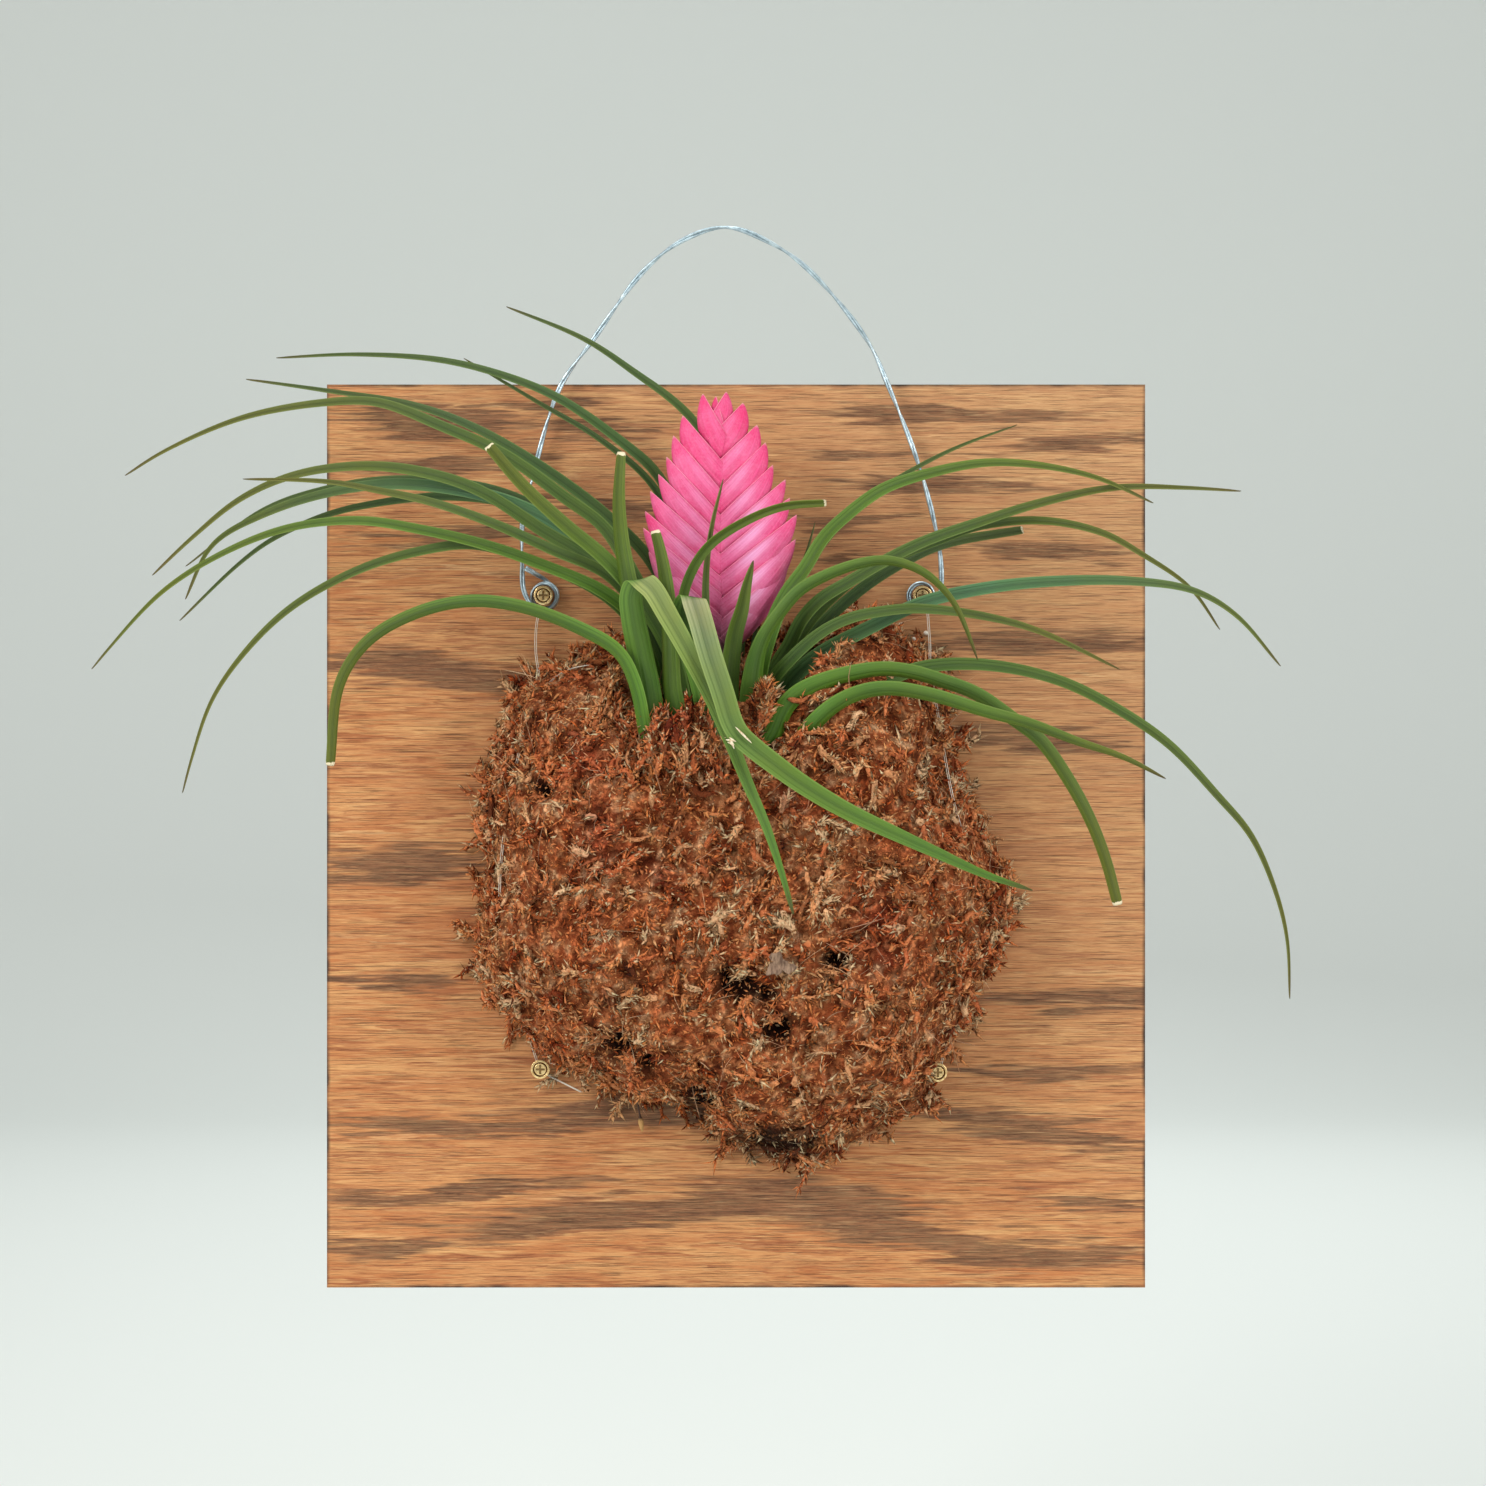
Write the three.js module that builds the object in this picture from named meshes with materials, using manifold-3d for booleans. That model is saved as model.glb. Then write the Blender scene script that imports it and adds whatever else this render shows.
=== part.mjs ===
import * as THREE from "three";
import { mergeVertices } from "three/addons/utils/BufferGeometryUtils.js";
import Module from "manifold-3d";

const wasm = await Module();
wasm.setup();

// A pink quill mounted on a board that hangs by a wire. Sizes are in millimetres, X points right,
// Z points up, the board's front faces -Y, and the origin is the middle of the board's back.
// A route is written as it shows on the board's face, [x, z], to an eye straight in front of it.
// A depth is the distance in front of that face.
const eye = { x: 2.3, z: 30.7, distance: 900 };
const gap = 0.3;
const slotGap = 0.4;
const slotDepth = 2.5;
const slotOverrun = 0.8;
const smallestEdge = 0.03;

const boardWidth = 270;
const boardHeight = 298;
const boardThickness = 6;

const screwPlaces = {
  screw_upper_left: [-63, 79],
  screw_upper_right: [61, 79],
  screw_lower_left: [-64, -76],
  screw_lower_right: [66, -77],
};
const shankRadius = 1.6;
const headRadius = 3.1;
const pocketRadius = headRadius + 2;
const headHeight = 1.7;
const headUnderside = 7;
const screwSunk = 4.4;
const crossLength = 3.3;
const crossWidth = 0.8;

const wireDiameter = 1.8;
const wireDepth = 4.5;
const wireArch = [
  [-67, 76.2], [-69.6, 80.5], [-70.2, 90], [-70, 104], [-67, 117], [-58, 147], [-47, 163],
  [-30, 186], [-17, 196], [-3, 200], [13, 194], [25, 185], [43, 163], [50, 148], [60, 122],
  [66, 99], [67.4, 88], [67, 80], [64.6, 76.2],
];
const coilRadius = 3.4;
const coilPitch = 2.05;
const coilTurns = 1.75;

const lineDiameter = 0.6;
const lineLift = 3;
const lines = {
  line_left: {
    side: -1,
    from: "screw_upper_left",
    to: "screw_lower_left",
    over: [[-65, 50], [-71, 30], [-76, 5], [-78, -20], [-76, -42], [-70, -60]],
  },
  line_right: {
    side: 1,
    from: "screw_upper_right",
    to: "screw_lower_right",
    over: [[64, 56], [67, 38], [71, 15], [77, -10], [78, -35], [73, -55]],
  },
};

const crown = { x: -2, z: 18, depth: 32, halfWidth: 28, halfDepth: 21, halfHeight: 11 };

// Leaves that rise from less than this depth open toward the eye, and the others to the board.
const turningDepth = 46;
const blade = { lift: 0.32, baseThickness: 1.1, tipThickness: 0.8, outwardTurn: 0.55, bodyFrom: 0.35 };

// The hollow in the moss that the leaf bases rise from: heights, half widths, half depths, depths.
const hollow = [
  [20, 20, 17, 33],
  [30, 21, 18, 33],
  [45, 27, 12.5, 34],
  [60, 36, 22, 37],
  [78, 44, 28, 41],
];
const hollowX = -3;

const moss = {
  x: 0,
  z: -22,
  rimDepth: 5,
  fullDepth: 59,
  sectors: 60,
  rings: [0.12, 0.24, 0.36, 0.48, 0.6, 0.71, 0.81, 0.9, 0.96, 1],
};
const mossOutline = [
  [-74, 50], [-62, 56], [-49, 62], [-12, 65], [16, 69], [45, 75], [58, 66], [66, 57], [73, 37],
  [72, 22], [82, 3], [92, -18], [91, -25], [85, -39], [81, -50], [72, -68], [65, -92], [45, -96],
  [31, -108], [15, -106], [-8, -97], [-19, -89], [-45, -83], [-61, -74], [-73, -62], [-83, -53],
  [-87, -30], [-83, -12], [-84, 15], [-77, 32],
];

const quill = {
  x: -3.5,
  z: 60,
  depth: 31,
  lean: 0.055,
  pairs: 10,
  halfWidth: 25.5,
  lowestTip: 39,
  highestTip: 86,
  lowestRoot: 2,
  highestRoot: 62,
  halfThickness: 5.6,
};

// Each leaf: its route from base to tip, its depths at base, middle and tip, its widths at base
// and middle, and how its end looks. A route with its own depths has them as third numbers.
const leaves = {
  leaf_left_1: {
    route: [[-3, 26], [1, 71], [1, 111], [-15, 138], [-35, 154], [-50, 164], [-76, 175]],
    depths: [14, 14, 14], widths: [5.6, 4.6],
  },
  leaf_left_2: {
    route: [[-8, 26], [-10, 68], [-15, 94], [-26, 119], [-38, 130], [-58, 144], [-77, 152],
      [-97, 157], [-125, 159], [-152, 158]],
    depths: [17.2, 17, 10], widths: [5.6, 4.4],
  },
  leaf_left_3: {
    route: [[-11, 26], [-13, 65], [-17, 91], [-27, 115], [-45, 131], [-65, 143], [-90, 158]],
    depths: [11.5, 11, 11], widths: [4.4, 3.4],
  },
  leaf_left_4: {
    route: [[-13, 26], [-17, 65], [-28, 90], [-41, 104], [-56, 116], [-83, 133], [-106, 142],
      [-135, 147], [-162, 151]],
    depths: [20.2, 21, 9], widths: [5.6, 4.6],
  },
  leaf_left_5: {
    route: [[-13, 26], [-22, 62], [-33, 84], [-44, 102], [-56, 111], [-77, 126], [-97, 135],
      [-118, 143], [-135, 143], [-163, 138], [-189, 127], [-202, 119]],
    depths: [28.8, 34, 24], widths: [6.4, 5.4],
  },
  leaf_left_6: {
    route: [[-16, 26], [-21, 58], [-32, 78], [-43, 91], [-56, 102], [-70, 115], [-82, 129]],
    depths: [45.8, 53, 58], widths: [7, 5.8], end: "cut",
  },
  leaf_left_7: {
    route: [[-15, 26], [-22, 56], [-32, 75], [-45, 89], [-63, 100], [-85, 114], [-104, 120],
      [-124, 122], [-146, 119], [-164, 111], [-179, 99], [-193, 86]],
    depths: [34.8, 42.2, 36], widths: [6.6, 5.6],
  },
  leaf_left_8: {
    route: [[-17, 26], [-25, 61], [-41, 85], [-60, 94], [-80, 103], [-100, 110], [-118, 114],
      [-135, 117], [-163, 118]],
    depths: [43.6, 53, 46], widths: [6, 4.6],
  },
  leaf_left_9: {
    route: [[-14, 26], [-20, 56], [-32, 76], [-51, 96], [-68, 107], [-86, 113], [-114, 116],
      [-135, 113], [-156, 106], [-173, 96], [-182, 78]],
    depths: [31.4, 38.3, 30], widths: [6.4, 5.8],
  },
  leaf_left_10: {
    route: [[-13, 26], [-18, 58], [-30, 78], [-50, 98], [-68, 110], [-86, 116], [-114, 118],
      [-135, 115], [-156, 108], [-182, 89]],
    depths: [23.2, 25.5, 20], widths: [4.4, 3.2],
  },
  leaf_left_11: {
    route: [[-18, 26], [-24, 55], [-32, 70], [-43, 80], [-63, 89], [-83, 96], [-104, 101],
      [-124, 104], [-146, 102], [-166, 95], [-189, 81], [-208, 61], [-213, 55]],
    depths: [41.4, 49.8, 34], widths: [6, 4.4],
  },
  leaf_left_12: {
    route: [[-14, 26], [-21, 56], [-32, 74], [-48, 95], [-63, 104], [-77, 110], [-97, 112],
      [-117, 110], [-135, 106], [-153, 98], [-164, 90], [-184, 71]],
    depths: [26.2, 30, 22], widths: [5, 4],
  },
  leaf_left_13: {
    route: [[-16, 26], [-23, 54], [-32, 68], [-43, 79], [-63, 89], [-86, 96], [-104, 94],
      [-124, 88], [-146, 76], [-161, 62], [-173, 45], [-180, 25], [-183, 14]],
    depths: [38.3, 46.3, 26], widths: [5.6, 4.2],
  },
  leaf_left_14: {
    route: [[-29, 26], [-33, 38], [-35, 50], [-40, 63], [-53, 71], [-73, 78], [-91, 79],
      [-109, 74], [-123, 65], [-131, 50], [-134, 23]],
    depths: [43, 56, 40], widths: [6, 4.6], end: "cut",
  },
  leaf_front_1: {
    route: [[-21, 23], [-28, 58], [-34, 78], [-37, 97], [-39, 111], [-38, 127]],
    depths: [49.8, 56.5, 59], widths: [8, 5], end: "cut",
  },
  leaf_front_2: {
    route: [[-23, 24, 54], [-26, 45, 55.8], [-31, 60, 58], [-33, 71, 59], [-35, 80, 60],
      [-33.5, 84, 61.5], [-30, 83, 63.5], [-24, 77, 65], [-18, 66, 66], [-12, 56, 66], [-7, 45, 66],
      [-2, 32, 65.5], [4, 17, 65.5], [10, 3, 65.5], [15, -12, 65], [19, -26, 64]],
    widths: [8.5, 7], steps: 26,
  },
  leaf_front_3: {
    route: [[-13, 26], [-19, 48], [-22, 60], [-23, 80], [-25, 93], [-27, 101]],
    depths: [53.8, 55, 56], widths: [6.4, 5], end: "cut",
  },
  leaf_front_4: {
    route: [[-8, 26], [-14, 58], [-18, 71], [-17, 82], [-10, 95], [3, 104], [16, 109], [30, 110]],
    depths: [43, 46, 50], widths: [6, 3.6], end: "cut",
  },
  leaf_front_5: {
    route: [[-7, 30, 57], [-12, 55, 57.2], [-16, 68, 57.6], [-16.5, 75, 59], [-15, 78, 61],
      [-12.5, 74, 65.5], [-10, 63, 69.6], [-6, 53, 71.5], [-2, 45, 71], [0, 37, 71], [5, 28, 71],
      [11, 23, 71], [22, 15, 70.5], [36, 4, 70], [51, -3, 69], [66, -9, 66], [81, -13, 62],
      [98, -18, 58]],
    widths: [8, 6.5], steps: 28,
  },
  leaf_front_6: {
    route: [[-7, 26], [-9, 58], [-10, 73], [-10, 86], [-8, 102], [-4, 118]],
    depths: [39.8, 42, 43], widths: [4, 2.6],
  },
  leaf_front_7: {
    route: [[-3, 26], [-2, 55], [0, 70], [1, 77], [4, 83], [6, 90]],
    depths: [43, 43, 44], widths: [5, 3.6],
  },
  leaf_right_1: {
    route: [[5, 26], [8, 55], [13, 71], [17, 80], [23, 88], [29, 98], [36, 105], [48, 114],
      [62, 119], [82, 123], [102, 122], [120, 118], [138, 110]],
    depths: [39, 36, 30], widths: [8, 5.4],
  },
  leaf_right_2: {
    route: [[5, 26], [9, 58], [18, 81], [31, 99], [40, 109], [55, 119], [72, 128], [93, 136]],
    depths: [13.5, 15, 15], widths: [5, 3],
  },
  leaf_right_3: {
    route: [[4, 26], [9, 61], [15, 78], [20, 86], [23, 93], [26, 104]],
    depths: [20.4, 20, 20], widths: [4, 2.4],
  },
  leaf_right_4: {
    route: [[7, 26], [6, 52], [9, 65], [15, 74], [21, 81], [28, 85], [38, 89], [48, 91], [55, 90],
      [62, 87], [67, 83], [72, 77], [75, 71], [80, 58]],
    depths: [46, 49, 52], widths: [11, 5],
  },
  leaf_right_5: {
    route: [[8, 26], [13, 55], [18, 63], [21, 70], [28, 78], [38, 84], [48, 90], [62, 97],
      [79, 103], [101, 110], [125, 115], [148, 115], [167, 114]],
    depths: [28.8, 34, 26], widths: [6, 4.6],
  },
  leaf_right_6: {
    route: [[9, 26], [15, 55], [21, 66], [28, 75], [41, 86], [55, 93], [68, 98], [79, 102],
      [101, 104], [121, 100], [134, 93], [150, 82], [160, 68]],
    depths: [26, 29, 24], widths: [6, 4.4],
  },
  leaf_right_7: {
    route: [[11, 26], [16, 53], [23, 62], [29, 70], [41, 81], [55, 90], [68, 96], [95, 101]],
    depths: [23.2, 24, 22], widths: [6, 4.8], end: "cut",
  },
  leaf_right_8: {
    route: [[12, 26], [16, 48], [21, 54], [28, 60], [45, 69], [62, 77], [85, 82], [107, 84],
      [131, 84], [151, 81], [165, 73], [180, 56]],
    depths: [32.4, 38, 30], widths: [6, 5],
  },
  leaf_right_9: {
    route: [[9, 26], [12, 51], [16, 56], [28, 67], [38, 72], [48, 74], [58, 75], [79, 73],
      [99, 68], [127, 55]],
    depths: [35.6, 42, 38], widths: [5.6, 4.2],
  },
  leaf_right_10: {
    route: [[20, 26], [25, 35], [31, 41], [42, 47], [54, 53], [65, 56], [85, 56], [107, 51],
      [127, 41], [143, 30], [159, 13], [170, 0], [178, -18], [182, -34], [183, -54]],
    depths: [41, 40, 26], widths: [6, 4.4],
  },
  leaf_right_11: {
    route: [[9, 28], [13, 34], [16, 42], [21, 47], [28, 51], [38, 55], [48, 56], [58, 54],
      [68, 51], [79, 47], [92, 38], [100, 32], [110, 18], [117, 5], [122, -8], [126, -23]],
    depths: [49.6, 51.5, 44], widths: [7, 5.2], end: "cut",
  },
  leaf_right_13: {
    route: [[2, 26], [5, 58], [7, 71], [9, 80], [13, 88]],
    depths: [17, 17, 17], widths: [4, 2.4],
  },
  leaf_right_12: {
    route: [[14, 26, 44.5], [17, 35, 45], [21, 43, 45.5], [27, 47, 46], [35, 50, 46.5],
      [50, 49, 49], [66, 46, 53], [82, 41, 56.5], [97, 37, 58], [113, 31, 58.5], [128, 26, 58],
      [142, 19, 57]],
    widths: [6.4, 5.4],
  },
};

// The true place of a point that shows at x, z on the board's face.
function place(x, z, depth) {
  const nearer = (eye.distance - depth) / eye.distance;
  return new THREE.Vector3(
    eye.x + (x - eye.x) * nearer,
    -boardThickness - depth,
    eye.z + (z - eye.z) * nearer,
  );
}

const ease = (t) => t * t * (3 - 2 * t);
const mix = THREE.MathUtils.lerp;

function solidOf(geometry) {
  geometry.deleteAttribute("normal");
  geometry.deleteAttribute("uv");
  const merged = mergeVertices(geometry, 1e-4);
  return new wasm.Manifold(
    new wasm.Mesh({
      numProp: 3,
      vertProperties: new Float32Array(merged.attributes.position.array),
      triVerts: new Uint32Array(merged.index.array),
    }),
  );
}

function geometryOf(solid) {
  const mesh = solid.simplify(smallestEdge).getMesh();
  const geometry = new THREE.BufferGeometry();
  const places = new Float32Array(mesh.vertProperties);
  geometry.setAttribute("position", new THREE.BufferAttribute(places, 3));
  geometry.setIndex([...mesh.triVerts]);
  geometry.computeVertexNormals();
  return geometry;
}

function largestBody(solid) {
  const bodies = solid.decompose();
  return bodies.reduce((best, body) => (body.volume() > best.volume() ? body : best));
}

// A closed skin over rings of points that all have the same number of corners.
// alike lists the corners whose quads are split by the other diagonal, and cap the triangles
// that close each end where its outline isn't convex.
function skinOf(rings, { alike = [], cap } = {}) {
  const corners = rings[0].length;
  const fan = Array.from({ length: corners - 2 }, (_, j) => [0, j + 1, j + 2]);
  const places = rings.flat().flatMap((p) => [p.x, p.y, p.z]);
  const faces = [];
  for (let i = 0; i + 1 < rings.length; i += 1) {
    for (let j = 0; j < corners; j += 1) {
      const k = (j + 1) % corners;
      const [a, b] = [i * corners + j, i * corners + k];
      const [c, d] = [b + corners, a + corners];
      if (alike.includes(j)) faces.push(a, b, d, b, c, d);
      else faces.push(a, b, c, a, c, d);
    }
  }
  const last = (rings.length - 1) * corners;
  for (const [a, b, c] of cap ?? fan) {
    faces.push(a, c, b);
    faces.push(last + a, last + b, last + c);
  }
  const geometry = new THREE.BufferGeometry();
  geometry.setAttribute("position", new THREE.Float32BufferAttribute(places, 3));
  geometry.setIndex(faces);
  return geometry;
}

function tube(points, diameter, sides, steps) {
  const shape = new THREE.Shape();
  shape.absarc(0, 0, diameter / 2, 0, 2 * Math.PI);
  const path = new THREE.CatmullRomCurve3(points, false, "centripetal");
  const options = { extrudePath: path, steps, curveSegments: sides / 2 };
  return solidOf(new THREE.ExtrudeGeometry(shape, options));
}

// The middle line of a leaf, with its depths eased from base to middle to tip.
function leafCurve({ route, depths }) {
  const points = route.map(([x, z, ownDepth], i) => {
    if (ownDepth !== undefined) return place(x, z, ownDepth);
    const t = i / (route.length - 1);
    const [base, middle, tip] = depths;
    const depth = t < 0.5 ? mix(base, middle, ease(2 * t)) : mix(middle, tip, ease(2 * t - 1));
    return place(x, z, depth);
  });
  return new THREE.CatmullRomCurve3(points, false, "centripetal");
}

function leafWidth({ widths, end }, t) {
  const [base, middle] = widths;
  const body = mix(base, middle, ease(Math.min(t / blade.bodyFrom, 1)));
  const taper = end === "cut" ? 1 - 0.35 * t ** 3 : 1 - 0.86 * t ** 2.4;
  return body * taper;
}

const bladeSkin = { alike: [3, 4], cap: [[0, 1, 4], [0, 4, 5], [1, 2, 3], [1, 3, 4]] };

// A channelled blade swept along its middle line. Grown on every side, and with its base sunk
// deeper, it is the plain hole that the leaf stands in.
function leafSolid(leaf, grow = 0) {
  const curve = leafCurve(leaf);
  const steps = leaf.steps ?? THREE.MathUtils.clamp(Math.round(curve.getLength() / 15), 8, 17);
  const base = curve.getPointAt(0);
  const opening = new THREE.Vector3(Math.sign(crown.x - base.x) * blade.outwardTurn, 0, 0);
  opening.y = -boardThickness - base.y < turningDepth ? -1 : 1;
  const rings = [];
  for (let i = 0; i <= steps; i += 1) {
    const t = i / steps;
    const centre = curve.getPointAt(t);
    const along = curve.getTangentAt(t);
    opening.addScaledVector(along, -opening.dot(along)).normalize();
    const across = new THREE.Vector3().crossVectors(along, opening);
    const half = leafWidth(leaf, t) / 2 + grow;
    const lift = blade.lift * half;
    const thick = mix(blade.baseThickness, blade.tipThickness, t);
    const section = [
      [-half, lift + grow],
      [0, grow],
      [half, lift + grow],
      [half, lift - thick - grow],
      [0, -thick - grow],
      [-half, lift - thick - grow],
    ];
    const ringAt = (shift) => {
      const middle = centre.clone().addScaledVector(along, shift);
      return section.map(([u, v]) =>
        middle.clone().addScaledVector(across, u).addScaledVector(opening, v),
      );
    };
    if (grow && i === 0) rings.push(ringAt(-slotDepth));
    rings.push(ringAt(0));
    if (grow && i === steps) rings.push(ringAt(slotOverrun));
  }
  return solidOf(skinOf(rings, bladeSkin));
}

function crownSolid(grow = 0) {
  const profile = [[0, -1], [0.6, -0.9], [0.94, -0.45], [1, 0.1], [0.9, 0.7], [0.55, 0.95], [0, 1]];
  const stem = new THREE.LatheGeometry(profile.map(([r, h]) => new THREE.Vector2(r, h)), 20);
  stem.rotateX(Math.PI / 2);
  stem.scale(crown.halfWidth + grow, crown.halfDepth + grow, crown.halfHeight + grow);
  const { x, y, z } = place(crown.x, crown.z, crown.depth);
  stem.translate(x, y, z);
  return solidOf(stem);
}

function hollowSolid() {
  const rings = hollow.map(([z, halfWidth, halfDepth, depth]) =>
    Array.from({ length: 20 }, (_, i) => {
      const angle = (i / 20) * 2 * Math.PI;
      const x = hollowX + halfWidth * Math.cos(angle);
      return new THREE.Vector3(x, -boardThickness - depth + halfDepth * Math.sin(angle), z);
    }),
  );
  return solidOf(skinOf(rings));
}

// The moss outline's distance from the ball's middle at an angle.
function mossRadius(angle) {
  const polar = mossOutline
    .map(([x, z]) => [Math.atan2(z - moss.z, x - moss.x), Math.hypot(x - moss.x, z - moss.z)])
    .sort((a, b) => a[0] - b[0]);
  const turn = 2 * Math.PI;
  const [firstAngle, firstRadius] = polar[0];
  const [lastAngle, lastRadius] = polar[polar.length - 1];
  const ring = [[lastAngle - turn, lastRadius], ...polar, [firstAngle + turn, firstRadius]];
  const next = ring.findIndex(([a]) => a > angle);
  const [a0, r0] = ring[next - 1];
  const [a1, r1] = ring[next];
  return mix(r0, r1, (angle - a0) / (a1 - a0));
}

function mossLumps(x, z) {
  const wide = Math.sin(x / 8 + 1.3 * Math.sin(z / 9)) + Math.sin(z / 7 + 1.7 * Math.sin(x / 10));
  const fine = Math.sin(x / 3.1 + z / 4.3) * Math.sin(z / 3.7 - x / 4.9);
  return 1.4 * wide + 1.7 * fine;
}

function mossDepth(x, z) {
  const angle = Math.atan2(z - moss.z, x - moss.x);
  const out = Math.min(Math.hypot(x - moss.x, z - moss.z) / mossRadius(angle), 1);
  const dome = (1 - out ** 5) ** 0.6;
  return moss.rimDepth + (moss.fullDepth - moss.rimDepth) * dome + mossLumps(x, z) * (1 - out ** 6);
}

function mossSolid() {
  const ringAt = (out, depthOf) =>
    Array.from({ length: moss.sectors }, (_, i) => {
      const angle = Math.PI - ((i + 0.5) / moss.sectors) * 2 * Math.PI;
      const ragged = 1 + 0.018 * Math.sin(23 * angle) * out ** 4;
      const radius = out * ragged * mossRadius(angle);
      const x = moss.x + radius * Math.cos(angle);
      const z = moss.z + radius * Math.sin(angle);
      return place(x, z, depthOf(x, z));
    });
  const flat = () => 0;
  const rings = moss.rings.map((out) => ringAt(out, mossDepth));
  return solidOf(skinOf([...rings, ringAt(0.94, flat)]));
}

function screwSolid() {
  const profile = [
    [0, -screwSunk],
    [shankRadius * 0.5, -screwSunk + 1],
    [shankRadius, -screwSunk + 2.2],
    [shankRadius, headUnderside],
    [headRadius, headUnderside],
    [headRadius, headUnderside + headHeight * 0.45],
    [headRadius * 0.72, headUnderside + headHeight],
    [0, headUnderside + headHeight],
  ].map(([r, h]) => new THREE.Vector2(r, h));
  const body = solidOf(new THREE.LatheGeometry(profile, 18));
  const slot = (wide, deep) =>
    solidOf(new THREE.BoxGeometry(wide, 2, deep).translate(0, headUnderside + headHeight, 0));
  return body.subtract(slot(crossLength, crossWidth)).subtract(slot(crossWidth, crossLength));
}

// A screw is drawn along +Y and turned to face the viewer.
function onBoard(geometry, [x, z]) {
  geometry.rotateX(Math.PI);
  geometry.translate(x, -boardThickness, z);
  return geometry;
}

// The clear space round a screw's head that the moss keeps out of.
function screwPocket([x, z]) {
  const pocket = new THREE.CylinderGeometry(pocketRadius, pocketRadius, 40, 16);
  return solidOf(pocket.translate(x, -boardThickness, z));
}

function boardSolid() {
  const panel = new THREE.BoxGeometry(boardWidth, boardThickness, boardHeight);
  let board = solidOf(panel.translate(0, -boardThickness / 2, 0));
  for (const [x, z] of Object.values(screwPlaces)) {
    const deep = screwSunk + gap;
    const hole = new THREE.CylinderGeometry(shankRadius + gap, shankRadius + gap, 2 * deep, 16);
    board = board.subtract(solidOf(hole.translate(x, -boardThickness, z)));
  }
  return board;
}

// Points of a round turn about a screw, from a start angle, moving away from the board.
function turnsAround([x, z], { radius, startAngle, turns, fromDepth, pitch, way, perTurn }) {
  const count = Math.round(Math.abs(turns) * perTurn);
  return Array.from({ length: count + 1 }, (_, i) => {
    const t = i / perTurn;
    const angle = startAngle + way * t * 2 * Math.PI;
    return new THREE.Vector3(
      x + radius * Math.cos(angle),
      -boardThickness - fromDepth - pitch * t,
      z + radius * Math.sin(angle),
    );
  });
}

function hangingWireSolid() {
  const coil = {
    radius: coilRadius,
    turns: coilTurns,
    fromDepth: gap + wireDiameter / 2,
    pitch: coilPitch,
    perTurn: 12,
  };
  const down = -Math.PI / 2;
  const ends = coilTurns * 2 * Math.PI;
  const left = turnsAround(screwPlaces.screw_upper_left, {
    ...coil, startAngle: down - ends, way: 1,
  });
  const right = turnsAround(screwPlaces.screw_upper_right, {
    ...coil, startAngle: down + ends, way: -1,
  });
  const arch = wireArch.map(([x, z]) => new THREE.Vector3(x, -boardThickness - wireDepth, z));
  const coilSteps = Math.round(coilTurns * 13);
  return tube([left[left.length - 1], ...arch, right[right.length - 1]], wireDiameter, 8, 46)
    .add(tube(left, wireDiameter, 8, coilSteps))
    .add(tube(right, wireDiameter, 8, coilSteps));
}

// A line from one screw's shank to another's, over the moss through places on the board's face.
function lineSolid({ side, from, over, to }) {
  const beside = shankRadius + gap + lineDiameter / 2;
  const clear = headRadius + 2 * lineDiameter;
  const tied = ([x, z], out, depth) =>
    new THREE.Vector3(x + side * out, -boardThickness - depth, z);
  const lying = [];
  for (let i = 0; i + 1 < over.length; i += 1) {
    for (let j = 0; j < 3; j += 1) {
      const x = mix(over[i][0], over[i + 1][0], j / 3);
      const z = mix(over[i][1], over[i + 1][1], j / 3);
      lying.push(place(x, z, mossDepth(x, z) + lineLift));
    }
  }
  const [upper, lower] = [screwPlaces[from], screwPlaces[to]];
  const points = [
    tied(upper, beside, headUnderside - 0.7),
    tied(upper, clear, headUnderside - 1.1),
    ...lying,
    tied(lower, clear, headUnderside - 3),
    tied(lower, beside, headUnderside - 3),
  ];
  return tube(points, lineDiameter, 6, 30);
}

// A keeled bract from the quill's axis out to its tip, thickest along its upper half.
function bractSolid(side, root, tip, halfWidth, halfThickness) {
  const start = new THREE.Vector2(0, root);
  const end = new THREE.Vector2(side * halfWidth, tip);
  const along = end.clone().sub(start);
  const over = new THREE.Vector2(-along.y, along.x).normalize().multiplyScalar(side);
  const stations = [
    [-0.04, 3, 0.6], [0.25, 6.5, 1], [0.55, 6.4, 0.8], [0.82, 3.4, 0.5], [1, 0.5, 0.14],
  ];
  const rings = stations.map(([t, half, thick]) => {
    const middle = start.clone().addScaledVector(along, t);
    const at = (u, v) => {
      const p = middle.clone().addScaledVector(over, u);
      return new THREE.Vector3(p.x, v, p.y);
    };
    const upper = halfThickness * thick;
    const lower = upper * 0.62;
    const ring = [at(half, -upper), at(-half, -lower), at(-half, lower), at(half, upper)];
    return side > 0 ? ring : ring.reverse();
  });
  return solidOf(skinOf(rings));
}

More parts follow.
